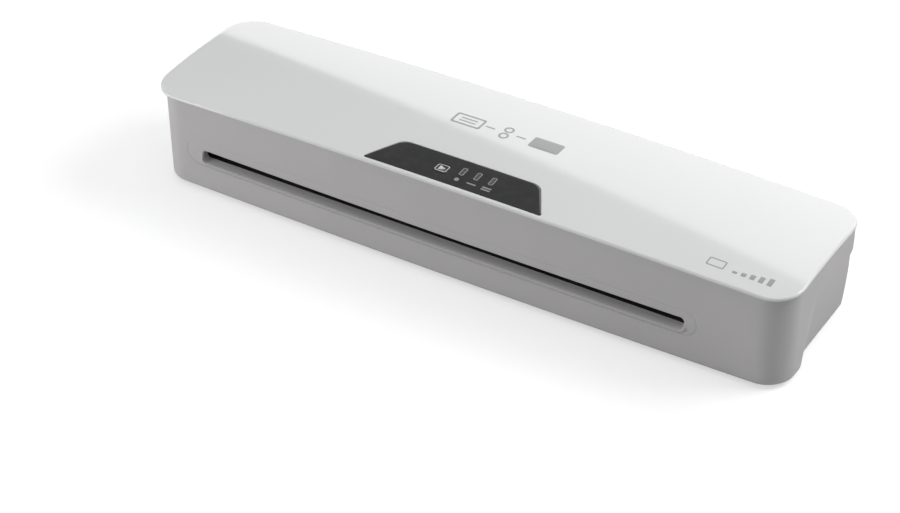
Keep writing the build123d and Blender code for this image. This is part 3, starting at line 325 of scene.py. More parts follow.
def grain_group():
    group, ins, outs = shader_group(
        "moulded_grain", [("Place", "Vector", None), ("Grain", "Float", 1500.0), ("Cloud", "Float", 18.0)],
        [("Height", "Float"), ("Tone", "Float")])
    fine = node(group, "TexNoise", Vector=ins.outputs["Place"], Scale=ins.outputs["Grain"],
                Detail=3.0, Roughness=0.6)
    pits = node(group, "TexVoronoi", Vector=ins.outputs["Place"], Scale=ins.outputs["Grain"], Randomness=1.0)
    height = node(group, "Math", {"operation": "MULTIPLY_ADD"}, i0=pits.outputs["Distance"], i1=0.5,
                  i2=fine.outputs["Fac"])
    cloud = node(group, "TexNoise", Vector=ins.outputs["Place"], Scale=ins.outputs["Cloud"], Detail=4.0)
    tone = node(group, "MapRange", i0=cloud.outputs["Fac"], i1=0.3, i2=0.7, i3=0.0, i4=1.0)
    group.links.new(height.outputs[0], outs.inputs["Height"])
    group.links.new(tone.outputs[0], outs.inputs["Tone"])
    return group


def wear_group():
    group, ins, outs = shader_group(
        "edge_wear", [("Place", "Vector", None), ("Reach", "Float", 0.06)], [("Mask", "Float")])
    shape = node(group, "NewGeometry")
    edge = node(group, "MapRange", i0=shape.outputs["Pointiness"], i1=0.52, i2=0.60, i3=0.0, i4=1.0)
    patch = node(group, "TexNoise", Vector=ins.outputs["Place"], Scale=220.0, Detail=5.0, Roughness=0.7)
    patchy = node(group, "MapRange", i0=patch.outputs["Fac"], i1=0.42, i2=0.66, i3=0.0, i4=1.0)
    worn = node(group, "Math", {"operation": "MULTIPLY"}, i0=edge.outputs[0], i1=patchy.outputs[0])
    mask = node(group, "Math", {"operation": "MULTIPLY"}, i0=worn.outputs[0], i1=ins.outputs["Reach"])
    group.links.new(mask.outputs[0], outs.inputs["Mask"])
    return group


def dust_group():
    group, ins, outs = shader_group(
        "settled_dust", [("Place", "Vector", None), ("Amount", "Float", 0.04)],
        [("Mask", "Float"), ("Smear", "Float")])
    shape = node(group, "NewGeometry")
    split = node(group, "SeparateXYZ", Vector=shape.outputs["Normal"])
    upward = node(group, "MapRange", i0=split.outputs["Z"], i1=0.2, i2=1.0, i3=0.0, i4=1.0)
    specks = node(group, "TexNoise", Vector=ins.outputs["Place"], Scale=90.0, Detail=8.0, Roughness=0.75)
    thick = node(group, "MapRange", i0=specks.outputs["Fac"], i1=0.45, i2=0.75, i3=0.0, i4=1.0)
    lying = node(group, "Math", {"operation": "MULTIPLY"}, i0=upward.outputs[0], i1=thick.outputs[0])
    mask = node(group, "Math", {"operation": "MULTIPLY"}, i0=lying.outputs[0], i1=ins.outputs["Amount"])
    wiped = node(group, "Mapping", Vector=ins.outputs["Place"], Scale=(7.0, 30.0, 14.0),
                 Rotation=(0.0, 0.0, 0.35))
    smear = node(group, "TexNoise", Vector=wiped.outputs[0], Scale=1.0, Detail=5.0, Roughness=0.6)
    group.links.new(mask.outputs[0], outs.inputs["Mask"])
    group.links.new(smear.outputs["Fac"], outs.inputs["Smear"])
    return group


def drawn_group():
    group, ins, outs = shader_group(
        "drawn_metal", [("Place", "Vector", None), ("Stretch", "Vector", (20.0, 900.0, 900.0))],
        [("Lines", "Float"), ("Stain", "Float")])
    pulled = node(group, "Mapping", Vector=ins.outputs["Place"], Scale=ins.outputs["Stretch"])
    lines = node(group, "TexNoise", Vector=pulled.outputs[0], Scale=1.0, Detail=6.0, Roughness=0.7)
    stain = node(group, "TexNoise", Vector=ins.outputs["Place"], Scale=60.0, Detail=5.0)
    group.links.new(lines.outputs["Fac"], outs.inputs["Lines"])
    group.links.new(stain.outputs["Fac"], outs.inputs["Stain"])
    return group


GRAIN, WEAR, DUST, DRAWN = grain_group(), wear_group(), dust_group(), drawn_group()


def placed(tree, group, place, **values):
    made = tree.nodes.new("ShaderNodeGroup")
    made.node_tree = group
    tree.links.new(place, made.inputs["Place"])
    for key, value in values.items():
        made.inputs[key].default_value = value
    return made


def blend_colour(tree, mask, under, over):
    return node(tree, "Mix", {"data_type": "RGBA"}, i0=mask, i6=under, i7=over).outputs[2]


def rgba(colour):
    return (*colour, 1.0)


def plastic(name, colour, roughness, grain=1500.0, depth=0.02, tone=0.03, wear=0.3, dust=0.05, spread=0.08,
            coat=0.0, sheen=None, clear=None, light=1.25):
    """Moulded or painted surface: tone drift, fine grain, worn edges, a trace of dust and uneven gloss."""
    material = bpy.data.materials.new(name)
    material.use_nodes = True
    tree = material.node_tree
    shader = tree.nodes["Principled BSDF"]
    place = node(tree, "TexCoord").outputs["Object"]
    moulded = placed(tree, GRAIN, place, Grain=grain)
    worn = placed(tree, WEAR, place, Reach=wear)
    dusty = placed(tree, DUST, place, Amount=dust)
    darker = [c * (1 - tone) for c in colour]
    paler = [min(1.0, c * light + 0.02) for c in colour]
    drift = blend_colour(tree, moulded.outputs["Tone"], rgba(darker), rgba(colour))
    edged = blend_colour(tree, worn.outputs["Mask"], drift, rgba(paler))
    dusted = blend_colour(tree, dusty.outputs["Mask"], edged, rgba((0.72, 0.70, 0.67)))
    tree.links.new(dusted, shader.inputs["Base Color"])
    gloss = node(tree, "MapRange", i0=dusty.outputs["Smear"], i1=0.25, i2=0.75,
                 i3=max(0.02, roughness - spread), i4=roughness + spread)
    matt = node(tree, "Math", {"operation": "ADD", "use_clamp": True},
                i0=gloss.outputs[0], i1=dusty.outputs["Mask"])
    tree.links.new(matt.outputs[0], shader.inputs["Roughness"])
    bump = node(tree, "Bump", Strength=depth, Distance=0.0002, Height=moulded.outputs["Height"])
    tree.links.new(bump.outputs[0], shader.inputs["Normal"])
    if coat:
        shader.inputs["Coat Weight"].default_value = coat
        shader.inputs["Coat Roughness"].default_value = 0.05
    if sheen:
        shader.inputs["Sheen Weight"].default_value = sheen
    if clear:
        shader.inputs["Transmission Weight"].default_value = clear
    return material


def metal(name, colour, roughness, stretch=(20.0, 900.0, 900.0), depth=0.1, stain=0.08):
    """Drawn, rolled or turned metal with fine lines, stains and paler worn edges."""
    material = bpy.data.materials.new(name)
    material.use_nodes = True
    tree = material.node_tree
    shader = tree.nodes["Principled BSDF"]
    place = node(tree, "TexCoord").outputs["Object"]
    drawn = placed(tree, DRAWN, place, Stretch=stretch)
    worn = placed(tree, WEAR, place, Reach=0.5)
    darker = [c * (1 - 2 * stain) for c in colour]
    paler = [min(1.0, c * 1.3) for c in colour]
    stained = blend_colour(tree, drawn.outputs["Stain"], rgba(darker), rgba(colour))
    edged = blend_colour(tree, worn.outputs["Mask"], stained, rgba(paler))
    tree.links.new(edged, shader.inputs["Base Color"])
    shader.inputs["Metallic"].default_value = 1.0
    gloss = node(tree, "MapRange", i0=drawn.outputs["Lines"], i1=0.3, i2=0.7,
                 i3=roughness - 0.07, i4=roughness + 0.1)
    tree.links.new(gloss.outputs[0], shader.inputs["Roughness"])
    bump = node(tree, "Bump", Strength=depth, Distance=0.0001, Height=drawn.outputs["Lines"])
    tree.links.new(bump.outputs[0], shader.inputs["Normal"])
    return material


FINISH = {
    "cover_white": plastic("satin_white_cover", (0.745, 0.745, 0.745), 0.085, grain=2600.0, depth=0.012,
        tone=0.012, wear=0.25, dust=0.015, spread=0.015, light=1.08),
    "panel_black": plastic("gloss_black_panel", (0.033, 0.033, 0.034), 0.10, grain=2200.0, depth=0.004,
        tone=0.08, wear=0.25, dust=0.02, spread=0.03, light=2.2),
    "lens_clear": plastic("smoked_light_window", (0.075, 0.077, 0.080), 0.22, grain=1800.0, depth=0.02,
        tone=0.1, wear=0.2, dust=0.02, coat=0.4),
    "body_grey": plastic("grained_grey_shell", (0.545, 0.530, 0.532), 0.40, grain=1900.0, depth=0.10,
        tone=0.035, wear=0.30, dust=0.03, spread=0.06),
    "guide_black": plastic("matt_black_guide", (0.012, 0.012, 0.013), 0.55, grain=1500.0, depth=0.12,
        tone=0.2, wear=0.35, dust=0.03, light=3.0),
    "rocker_black": plastic("gloss_black_rocker", (0.020, 0.020, 0.021), 0.22, grain=1700.0, depth=0.03,
        tone=0.2, wear=0.4, dust=0.03, light=3.0),
    "trim_grey": plastic("dark_grey_slider", (0.13, 0.13, 0.135), 0.42, grain=1600.0, depth=0.10,
        tone=0.08, wear=0.5, dust=0.03),
    "rubber_dark": plastic("dark_rubber", (0.022, 0.022, 0.022), 0.82, grain=900.0, depth=0.25,
        tone=0.25, wear=0.3, dust=0.10, sheen=0.2, light=3.0),
    "silicone": plastic("red_brown_silicone", (0.30, 0.055, 0.035), 0.62, grain=800.0, depth=0.12,
        tone=0.18, wear=0.2, dust=0.05, sheen=0.15),
    "gear_nylon": plastic("ivory_nylon", (0.72, 0.68, 0.58), 0.40, grain=1300.0, depth=0.06, tone=0.06,
        wear=0.3, dust=0.03),
    "heater_film": plastic("amber_heater_film", (0.42, 0.17, 0.03), 0.28, grain=700.0, depth=0.08,
        tone=0.25, wear=0.1, dust=0.02, coat=0.5),
    "board_green": plastic("green_board", (0.012, 0.11, 0.045), 0.30, grain=1100.0, depth=0.08,
        tone=0.3, wear=0.3, dust=0.03, coat=0.4),
    "led_white": plastic("pale_diode", (0.85, 0.84, 0.78), 0.25, grain=1800.0, depth=0.03, tone=0.05,
        dust=0.01),
    "component_dark": plastic("dark_component", (0.03, 0.032, 0.04), 0.38, grain=1500.0, depth=0.08,
        tone=0.2, wear=0.3, dust=0.05),
    "component_yellow": plastic("yellow_component", (0.70, 0.45, 0.06), 0.35, grain=1500.0, depth=0.06,
        tone=0.1, wear=0.2, dust=0.03),
    "screw_steel": metal("zinc_screw", (0.62, 0.61, 0.58), 0.30, stretch=(600.0, 600.0, 80.0),
        depth=0.15),
    "plate_steel": metal("galvanised_plate", (0.58, 0.60, 0.61), 0.36, stretch=(900.0, 15.0, 260.0),
        depth=0.12, stain=0.14),
    "rod_steel": metal("turned_rod", (0.64, 0.63, 0.61), 0.22, stretch=(1500.0, 30.0, 30.0),
        depth=0.08),
    "motor_zinc": metal("zinc_motor_can", (0.55, 0.56, 0.55), 0.32, stretch=(700.0, 40.0, 40.0),
        depth=0.1),
    "shoe_aluminium": metal("drawn_aluminium", (0.72, 0.73, 0.74), 0.28, stretch=(12.0, 900.0, 900.0),
        depth=0.15),
}
PRINT_WHITE = plastic("printed_white", (0.60, 0.60, 0.60), 0.45, grain=2500.0, depth=0.05,
                      tone=0.05, wear=0.1)
PRINT_SOFT = plastic("printed_soft_grey", (0.26, 0.26, 0.26), 0.45, grain=2500.0, depth=0.05,
                     tone=0.06, wear=0.1)
PRINT_GREY = plastic("printed_grey", (0.33, 0.33, 0.335), 0.34, grain=2500.0, depth=0.05, tone=0.05, wear=0.1)

SLOT_NODES = {
    "lens_clear": ["indicator_lenses"],
    "guide_black": ["entry_guide", "exit_guide", "switch_frame", "start_switch"],
    "rocker_black": ["mains_rocker"], "trim_grey": ["release_knob"],
    "rubber_dark": ["rubber_feet", "cord_gland"],
    "screw_steel": ["cover_screws", "plate_screws", "frame_screws", "board_screws", "idler_clip"],
    "plate_steel": ["side_plate_left", "side_plate_right", "pressure_plate_left", "pressure_plate_right",
                    "motor_bracket", "release_bar"],
    "rod_steel": ["tie_rods", "hot_lower_core", "hot_upper_core", "cold_lower_core", "cold_upper_core",
                  "idler_pin", "motor_shaft", "pressure_springs", "bracket_standoffs"],
    "silicone": ["hot_lower_sleeve", "hot_upper_sleeve", "cold_lower_sleeve", "cold_upper_sleeve"],
    "gear_nylon": ["hot_lower_gear", "hot_upper_gear", "cold_lower_gear", "cold_upper_gear", "idler_gear",
                   "motor_pinion", "lower_bushes", "upper_bushes", "power_posts"],
    "motor_zinc": ["motor_housing"], "shoe_aluminium": ["heater_shoe_upper", "heater_shoe_lower"],
    "heater_film": ["heater_element_upper", "heater_element_lower"],
    "board_green": ["control_board", "power_board"], "led_white": ["indicator_leds"],
    "component_dark": ["power_relay", "power_transformer", "thermostat", "thermal_fuse"],
    "component_yellow": ["mains_capacitor"],
}
for slot_name, nodes in SLOT_NODES.items():
    for name in nodes:
        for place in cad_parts[name].material_slots:
            place.material = FINISH[slot_name]

# ------------------------------------------------------------------ white cover

lip = [(4.5, -cover_wall), (0.9, -cover_wall), (0.35, -cover_wall + 0.12), (0.06, -cover_wall + 0.45),
       (0.0, -cover_wall + 0.8)]
lip_radius = 1.5
lip += [(lip_radius * (1 - math.cos(t)), -lip_radius * (1 - math.sin(t)))
        for t in np.linspace(0, math.pi / 2, 7)]
cover_rings = [over_cover(shrink(cover_line(4.5), share), -cover_wall) for share in (0.03, 0.4, 0.8)]
cover_rings += [np.column_stack([cover_line(inset), top_height(*cover_line(lip_radius).T) + drop])
                for inset, drop in lip]
cover_rings += [over_cover(shrink(cover_line(lip_radius), share), 0.0)
                for share in (0.995, 0.985, *np.linspace(0.965, 0.03, 26))]
cover = mesh_object("cover_shell", loft(cover_rings))
recess = loft([over_cover(shrink(panel_line(-0.15), share), -1.5) for share in (0.02, 0.5, 1.0)]
              + [over_cover(panel_line(-0.15), 3.0), over_cover(shrink(panel_line(-0.15), 0.02), 3.0)])
window = prism(round_box(4.0, -37.5, 22.5, 6.8, 2.0), crown - 12, crown + 8)
cut(cover, [recess])
cut(cover, [window])
fit(cover, "frame", "cover_white", FINISH["cover_white"], "top_cover")

# ------------------------------------------------------------------ control panel

button_x, button_y = (button_low[:2] + button_high[:2]) / 2
button_half = (button_high[:2] - button_low[:2]) / 2
lens_half = np.array([1.5, (lens_high[1] - lens_low[1]) / 2])
lens_y = (lens_high[1] + lens_low[1]) / 2
lens_places = [(x, lens_y) for x in np.linspace(lens_low[0] + 1.5, lens_high[0] - 1.5, 3)]

panel_rings = [over_cover(shrink(panel_line(0.0), share), -1.46) for share in (0.02, 0.5, 0.99)]
panel_rings += [over_cover(panel_line(0.0), -1.3), over_cover(panel_line(0.0), -0.3),
                over_cover(panel_line(0.06), -0.12), over_cover(panel_line(0.22), -0.05)]
panel_rings += [over_cover(shrink(panel_line(0.22), share), -0.05) for share in np.linspace(0.97, 0.02, 14)]
panel = mesh_object("panel_plate", loft(panel_rings))
button_hole = prism(round_box(button_x, button_y, *(button_half + 0.2), 2.2), crown - 10, crown + 5)
lens_holes = [prism(round_box(x, y, *(lens_half + 0.02), 0.8), crown - 10, crown + 5) for x, y in lens_places]
cut(panel, [button_hole, *lens_holes])
fit(panel, "frame", "panel_black", FINISH["panel_black"], "control_panel")


def button_line(inset):
    return round_box(button_x, button_y, *(button_half - inset), 2.0 - inset)


cap_top = button_high[2]
cap_rings = [np.column_stack([button_line(inset), np.full(len(button_line(inset)), height)])
             for inset, height in ((0.0, cap_top - 3.2), (0.0, cap_top - 0.55), (0.08, cap_top - 0.28),
                                   (0.30, cap_top - 0.10), (0.65, cap_top - 0.04))]
cap_dish = 0.12
cap_rings += [on_level(shrink(button_line(0.65), share), cap_top - 0.04 - cap_dish * (1 - share))
              for share in (0.8, 0.55, 0.3, 0.05)]
stem = prism(round_box(button_x, button_y, 1.7, 1.7, 0.4), button_low[2], cap_top - 3.1)
button = mesh_object("start_button_cap", joined(loft(cap_rings), stem))
fit(button, "button", "panel_black", FINISH["panel_black"], "start_button")

outline_print = mesh_object("start_outline", flat_ring(button_line(0.62), button_line(1.02),
                                                       cap_top - 0.09, 0.07, on_level))
fit(outline_print, "button", "panel_black", PRINT_WHITE)
play = np.array([(button_x - 1.9, button_y - 2.0), (button_x + 2.4, button_y + 0.1),
                 (button_x - 2.0, button_y + 2.3)])
play_line = np.concatenate([np.linspace(play[k], play[(k + 1) % 3], 7)[:-1] for k in range(3)])
play_print = mesh_object("start_triangle", flat_mark(play_line, cap_top - 0.16, 0.13, on_level))
fit(play_print, "button", "panel_black", PRINT_WHITE)

window_prints, icon_prints = [], []
for k, (x, y) in enumerate(lens_places):
    window_prints.append(flat_ring(round_box(x, y, *(lens_half + 0.05), 0.9),
                                   round_box(x, y, *(lens_half - 0.42), 0.5), 0.08, 0.05))
    icon_y = panel_low[1] + 6.3
    if k == 0:
        icon_prints.append(flat_mark(round_box(x, icon_y, 1.5, 1.5, 1.5), -0.05, 0.06))
    for bar in range(k):
        bar_y = icon_y + (bar - (k - 1) / 2) * 1.9
        icon_prints.append(flat_mark(round_box(x, bar_y, 3.0, 0.55, 0.3), -0.05, 0.06))
fit(mesh_object("window_outlines", joined(*window_prints)), "frame", "panel_black", PRINT_SOFT)
fit(mesh_object("sheet_marks", joined(*icon_prints)), "frame", "panel_black", PRINT_SOFT)

# ------------------------------------------------------------------ printed marks on the cover

mark_y = 10.0
marks = [flat_ring(round_box(-24.0, mark_y, 10.0, 5.6, 1.6), round_box(-24.0, mark_y, 8.6, 4.2, 0.9)),
         flat_mark(round_box(-24.0, mark_y + 1.5, 5.6, 0.55, 0.5)),
         flat_mark(round_box(-24.0, mark_y - 1.5, 5.6, 0.55, 0.5)),
         flat_ring(round_box(2.0, mark_y + 3.5, 3.2, 3.2, 3.2), round_box(2.0, mark_y + 3.5, 1.9, 1.9, 1.9)),
         flat_ring(round_box(2.0, mark_y - 3.5, 3.2, 3.2, 3.2), round_box(2.0, mark_y - 3.5, 1.9, 1.9, 1.9)),
         flat_mark(round_box(-9.0, mark_y, 3.2, 0.6, 0.5)),
         flat_mark(round_box(12.0, mark_y, 3.2, 0.6, 0.5)),
         flat_mark(round_box(29.0, mark_y, 10.0, 5.6, 1.6))]
fit(mesh_object("cover_pictogram", joined(*marks)), "frame", "cover_white", PRINT_GREY)
small_y = -39.0
small = [flat_ring(round_box(164.0, small_y, 5.4, 3.4, 1.0), round_box(164.0, small_y, 4.6, 2.6, 0.6))]
small += [flat_mark(round_box(176.0 + 5.2 * k, small_y - 2.2 + 0.55 * k, 1.5, 1.0 + 0.55 * k, 0.5))
          for k in range(5)]
fit(mesh_object("width_pictogram", joined(*small)), "frame", "cover_white", PRINT_GREY)

# ------------------------------------------------------------------ grey body


def soft_least(a, b, blend):
    share = np.clip(0.5 + 0.5 * (b - a) / blend, 0, 1)
    return a * share + b * (1 - share) - blend * share * (1 - share)


def rear_line_y(height):
    """Where the leaning rear face, its ledge and the band over it stand."""
    lean = rear_foot_y - (rear_foot_y - rear_ledge_y) * (height - foot) / (ledge_low - foot)
    rise = np.clip((height - ledge_low) / (ledge_high - ledge_low), 0, 1)
    rise = rise * rise * (3 - 2 * rise) * 0.35 + rise * 0.65
    return lean if height <= ledge_low else rear_ledge_y + (band_rear - rear_ledge_y) * rise


grip_heights = (foot, 14, 26, 38, 46, grip_top)
grip_depths = (grip_depth, 3.2, 0.36 * grip_depth, 0.62, 0.12, -0.5)


def grip_inset(y, height):
    """Depth of the hand grip scooped into each end."""
    wall = np.interp(height, grip_heights, grip_depths)
    ramp = (y + 22.5 - 12.5 * (height - foot) / 49.5) * grip_depth / 13.7
    depth = soft_least(np.full_like(ramp, wall), ramp, 1.4)
    return -soft_least(-depth, np.zeros_like(depth), 0.7)


def body_ring(height, inset=0.0):
    """The body's outline at a height."""
    share = (height - foot) / (body_top - foot)
    front = cover_front + 3.9 - 1.4 * share
    round_rear = np.interp(height, (ledge_low, ledge_high), (1.4, rear_corner)) + inset * 0.6
    line = plan_line(body_half, front, rear_line_y(height), 2.2, 0.1, front_corner, round_rear, inset)
    side = np.clip((np.abs(line[:, 0]) - body_half + front_corner) / front_corner, 0, 1)
    pull = grip_inset(line[:, 1], height) * side
    xs = line[:, 0] - np.sign(line[:, 0]) * pull
    zs = np.full(len(xs), float(height))
    if height > 54:
        under = top_height(xs, line[:, 1]) - cover_wall - 0.25
        zs = 54 + (under - 54) * (height - 54) / (body_top - 54)
    return np.column_stack([xs, line[:, 1], zs])


def front_y(x, z):
    """The body's front face."""
    share = (z - foot) / (body_top - foot)
    return cover_front + 3.9 - 1.4 * share - 2.2 * (1 - np.square(x / body_half))


heights = [*np.linspace(body_top, 54, 5), 52.5, 51, 49.5, 48.2, *np.linspace(ledge_high, ledge_low, 7), 43.6,
           *np.linspace(42, 6, 15)]
body_rings = [body_ring(h) for h in heights]
for turn in np.linspace(0, math.pi / 2, 6):
    body_rings.append(body_ring(foot + base_radius * (1 - math.sin(turn)),
                                base_radius * (1 - math.cos(turn))))
body_rings += [shrink(body_rings[-1], share) * (1, 1, 0) + (0, 0, foot) for share in (0.9, 0.6, 0.3, 0.02)]
body_points, body_faces = loft(body_rings)
body_faces = [f for f in body_faces if f != tuple(range(len(body_rings[0])))[::-1]]
body = mesh_object("body_shell", (body_points, body_faces))
work = bmesh.new()
work.from_mesh(body.data)
if sum(f.normal.z * f.calc_area() for f in work.faces if f.calc_center_median().z < (foot + 0.1) * MM) > 0:
    bmesh.ops.reverse_faces(work, faces=work.faces)
work.to_mesh(body.data)
work.free()
thick = body.modifiers.new("wall", "SOLIDIFY")
thick.thickness, thick.offset, thick.use_even_offset = body_wall * MM, -1.0, False
settle_modifiers(body)

# Row of cutters for the floor vents, spaced by a small geometry tree


def row_group():
    group = bpy.data.node_groups.new("spaced_row", "GeometryNodeTree")
    for label, kind in (("Piece", "NodeSocketObject"), ("Count", "NodeSocketInt"),
                        ("Start", "NodeSocketVector"),
                        ("Step", "NodeSocketVector"), ("Finish", "NodeSocketMaterial")):
        group.interface.new_socket(name=label, in_out="INPUT", socket_type=kind)
    group.interface.new_socket(name="Geometry", in_out="OUTPUT", socket_type="NodeSocketGeometry")
    ins, outs = group.nodes.new("NodeGroupInput"), group.nodes.new("NodeGroupOutput")
    line = group.nodes.new("GeometryNodeMeshLine")
    piece = group.nodes.new("GeometryNodeObjectInfo")
    spread = group.nodes.new("GeometryNodeInstanceOnPoints")
    real = group.nodes.new("GeometryNodeRealizeInstances")
    finish = group.nodes.new("GeometryNodeSetMaterial")
    for a, b in ((ins.outputs["Piece"], piece.inputs["Object"]), (ins.outputs["Count"], line.inputs["Count"]),
                 (ins.outputs["Start"], line.inputs["Start Location"]),
                 (ins.outputs["Step"], line.inputs["Offset"]),
                 (line.outputs["Mesh"], spread.inputs["Points"]),
                 (piece.outputs["Geometry"], spread.inputs["Instance"]),
                 (spread.outputs["Instances"], real.inputs["Geometry"]),
                 (real.outputs["Geometry"], finish.inputs["Geometry"]),
                 (ins.outputs["Finish"], finish.inputs["Material"]),
                 (finish.outputs["Geometry"], outs.inputs["Geometry"])):
        group.links.new(a, b)
    return group


ROW = row_group()


def spaced_row(name, shape, count, start, step, material, sharp=32.0):
    """Copies of one shape, evenly spaced, as a plain mesh."""
    seed = mesh_object(name + "_seed", shape, sharp)
    row = bpy.data.objects.new(name, bpy.data.meshes.new(name))
    bpy.context.scene.collection.objects.link(row)
    spread = row.modifiers.new("row", "NODES")
    spread.node_group = ROW
    keys = {item.name: item.identifier for item in ROW.interface.items_tree if item.in_out == "INPUT"}
    for label, value in (("Piece", seed), ("Count", count), ("Start", [v * MM for v in start]),
                         ("Step", [v * MM for v in step]), ("Finish", material)):
        spread[keys[label]] = value
    settle_modifiers(row, sharp)
    bpy.data.objects.remove(seed)
    return row


def slotted(centre, size, low, high, axis):
    """A round-ended slot cutter through a wall, along y or z."""
    line = round_box(*centre, size[0] / 2, size[1] / 2, min(size) / 2)
    if axis == "z":
        return prism(line, low, high)
    return loft([upright(line, y) for y in (low, high)])


bezel_x, bezel_z = (bezel_low[0] + bezel_high[0]) / 2, (bezel_low[2] + bezel_high[2]) / 2
bezel_half, bezel_rise = (bezel_high[0] - bezel_low[0]) / 2, (bezel_high[2] - bezel_low[2]) / 2
exit_x = (exit_low[0] + exit_high[0]) / 2
rear_lean = (rear_foot_y - rear_ledge_y) / (ledge_low - foot)
rear_out = np.array([0, 1, rear_lean]) / math.hypot(1, rear_lean)
rear_up = np.array([0, -rear_lean, 1]) / math.hypot(1, rear_lean)


def on_rear(line, x, z, lift):
    """A loop of (across, up) points laid on the leaning rear face round a centre."""
    base = np.array([x, rear_foot_y - rear_lean * (z - foot), z])
    return base + line[:, :1] * (1, 0, 0) + line[:, 1:] * rear_up + lift * rear_out


switch_x, switch_z = (switch_low[0] + switch_high[0]) / 2, 27.0
gland_x, gland_z = (gland_low[0] + gland_high[0]) / 2, 28.0
cutters = [slotted((bezel_x, bezel_z), (2 * bezel_half + 0.2, 2 * bezel_rise + 0.2), -60, -40, "y"),
           slotted((exit_x, 29.0), (344.0, 14.0), 34, 60, "y"),
           slotted((knob_low[0] + 14, (knob_low[2] + knob_high[2]) / 2), (20.8, 5.2), 40, 52, "y"),
           loft([on_rear(round_box(0, 0, 6.5, 9.5, 0.3), switch_x, switch_z, d) for d in (-6, 6)]),
           loft([on_rear(round_box(0, 0, 4.82, 4.82, 4.82), gland_x, gland_z, d) for d in (-6, 6)])]
post_places = [(sx * x, y) for sx in (-1, 1) for x, y in ((200.0, -36.0), (199.0, 31.0))]
cutters += [prism(round_box(x, y, 3.2, 3.2, 3.2), foot - 2, foot + 5) for x, y in post_places]
cut(body, cutters)
vents = spaced_row("vent_cutters", slotted((0, 0), (2.6, 34.0), foot - 2, foot + 5, "z"), 14,
                   (exit_x - 91.0, -1, 0), (14.0, 0, 0), FINISH["body_grey"])
opening = body.modifiers.new("vents", "BOOLEAN")
opening.operation, opening.solver, opening.object = "DIFFERENCE", "EXACT", vents
settle_modifiers(body)
bpy.data.objects.remove(vents)
fit(body, "frame", "body_grey", FINISH["body_grey"], "base_housing")

# ------------------------------------------------------------------ feed bezel


def bezel_loop(half, rise, radius, x=bezel_x, z=bezel_z):
    return round_box(x, z, half, rise, radius, steps=14, long_steps=70)


mouth_z, mouth_rise = (mouth_floor + mouth_top) / 2, (mouth_top - mouth_floor) / 2


def mouth_loop(grow):
    return bezel_loop(mouth_half + grow, mouth_rise + grow, 2.6 + max(grow, -1.0), mouth_x, mouth_z)


def faced(loop, proud):
    return upright(loop, front_y(loop[:, 0], loop[:, 1]) - proud)


def lower_share(loop):
    """1 along the bottom of the mouth, 0 along its top."""
    return np.clip((mouth_z - loop[:, 1]) / mouth_rise * 0.9 + 0.35, 0, 1)


bezel_rings = [faced(bezel_loop(bezel_half, bezel_rise, 99), -2.6),
               faced(bezel_loop(bezel_half, bezel_rise, 99), -0.22),
               faced(bezel_loop(bezel_half - 0.08, bezel_rise - 0.08, 99), -0.06),
               faced(bezel_loop(bezel_half - 0.28, bezel_rise - 0.28, 99), 0.0)]
outer, inner = bezel_loop(bezel_half - 0.28, bezel_rise - 0.28, 99), mouth_loop(2.6)
bezel_rings += [faced(outer + (inner - outer) * share, 0.0) for share in (0.3, 0.65, 1.0)]
for grow, low_proud, high_proud in ((2.2, 0.10, 0.0), (1.5, 0.60, 0.0), (0.9, 1.05, -0.02),
                                    (0.45, 1.08, -0.10), (0.12, 0.55, -0.30), (0.0, -0.5, -0.60)):
    loop = mouth_loop(grow)
    low = lower_share(loop)
    bezel_rings.append(faced(loop, low_proud * low + high_proud * (1 - low)))
guide_front = guide_low[1]
start = faced(mouth_loop(-0.02), -1.0)
throat = bezel_loop(mouth_half, (throat_top - throat_floor) / 2, 2.4,
                    mouth_x, (throat_top + throat_floor) / 2)
end = upright(throat, guide_front - 0.3)
bezel_rings += [start + (end - start) * share for share in (0.0, 0.33, 0.66, 1.0)]
back = bezel_loop(mouth_half + 2.2, mouth_rise + 1.4, 4.0, mouth_x, mouth_z)
bezel_rings += [upright(back, guide_front - 0.3)]
bezel_rings += [faced(bezel_loop(bezel_half - 2.0, bezel_rise - 1.2, 99), -2.6)]
points, faces = loft(bezel_rings, closed=False)
count, last = len(bezel_rings[0]), len(bezel_rings) - 1
faces += [(last * count + i, last * count + (i + 1) % count, (i + 1) % count, i) for i in range(count)]
bezel = mesh_object("feed_bezel", (points, faces), 40)
fit(bezel, "frame", "body_grey", FINISH["body_grey"], "entry_bezel")

# ------------------------------------------------------------------ floor, light and camera

floor_mesh = mesh_object("table_top", prism(round_box(0, 0, 6000, 6000, 10), -20, 0))
floor_material = bpy.data.materials.new("pale_table")
floor_material.use_nodes = True
floor_shader = floor_material.node_tree.nodes["Principled BSDF"]
floor_shader.inputs["Base Color"].default_value = (0.55, 0.55, 0.55, 1)
floor_shader.inputs["Roughness"].default_value = 0.8
floor_shader.inputs["Specular IOR Level"].default_value = 0.2
floor_shader.inputs["Emission Color"].default_value = (1, 1, 1, 1)
seen = node(floor_material.node_tree, "LightPath")
glow = node(floor_material.node_tree, "Math", {"operation": "MULTIPLY"},
            i0=seen.outputs["Is Camera Ray"], i1=0.56)
floor_material.node_tree.links.new(glow.outputs[0], floor_shader.inputs["Emission Strength"])
floor_mesh.data.materials.append(floor_material)

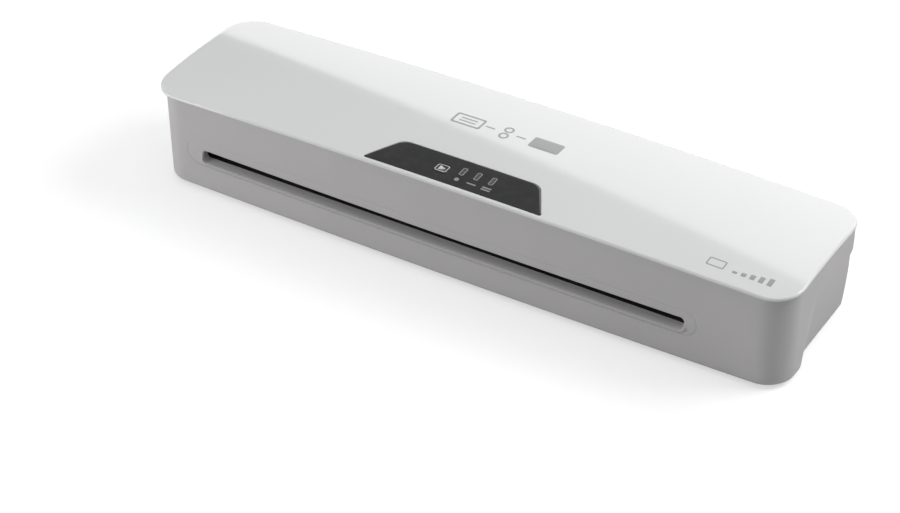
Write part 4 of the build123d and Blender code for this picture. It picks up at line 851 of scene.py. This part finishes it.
world = bpy.data.worlds.new("studio")
bpy.context.scene.world = world
world.use_nodes = True
world.node_tree.nodes["Background"].inputs["Color"].default_value = (0.97, 0.985, 1.0, 1)
looked_at = node(world.node_tree, "LightPath")
strength = node(world.node_tree, "MapRange", i0=looked_at.outputs["Is Camera Ray"], i3=0.27, i4=1.0)
world.node_tree.links.new(strength.outputs[0], world.node_tree.nodes["Background"].inputs["Strength"])


def soft_light(name, place, aim, size, power, roll=0.0):
    lamp = bpy.data.lights.new(name, "AREA")
    lamp.shape, lamp.size, lamp.size_y, lamp.energy = "RECTANGLE", *size, power
    obj = bpy.data.objects.new(name, lamp)
    obj.location = place
    facing = (Vector(aim) - Vector(place)).to_track_quat("-Z", "Y")
    obj.rotation_euler = (facing @ Quaternion((0, 0, 1), roll)).to_euler()
    bpy.context.scene.collection.objects.link(obj)
    return obj


camera_data = bpy.data.cameras.new("camera")
camera_data.lens, camera_data.sensor_width = 99.27, 36.0
camera = bpy.data.objects.new("camera", camera_data)
camera.location = (0.6098, -1.0609, 0.8697)
camera.rotation_euler = (math.radians(54.22), 0.0, math.radians(31.13))
bpy.context.scene.collection.objects.link(camera)
bpy.context.scene.camera = camera

turn = math.radians(31.13)
ahead = Vector((-math.sin(turn), math.cos(turn), 0))
across = Vector((math.cos(turn), math.sin(turn), 0))
# A broad softbox stands behind the machine, rolled so that its upper left edge shows along the cover.
roll = math.radians(41.0)
edge_middle = ahead * 2.4 + Vector((0, 0, 1.615))
inward = across * math.sin(roll) + Vector((0, 0, -math.cos(roll)))
softbox = soft_light("back_softbox", edge_middle + inward * 1.2, (0, 0, 0.06), (3.6, 2.4), 61.0, roll=-roll)
softbox.visible_diffuse = False
soft_light("left_key", (-1.15, -0.85, 0.24), (-0.1, 0, 0.04), (0.8, 0.5), 9.6)
soft_light("right_fill", (1.05, 0.8, 1.25), (0.2, 0, 0.04), (1.0, 0.8), 19.0)
soft_light("overhead_softbox", (0.2, -0.2, 2.6), (0, 0, 0), (2.2, 2.2), 18.0)

bpy.context.scene.view_settings.view_transform = "Standard"
bpy.context.scene.view_settings.look = "None"
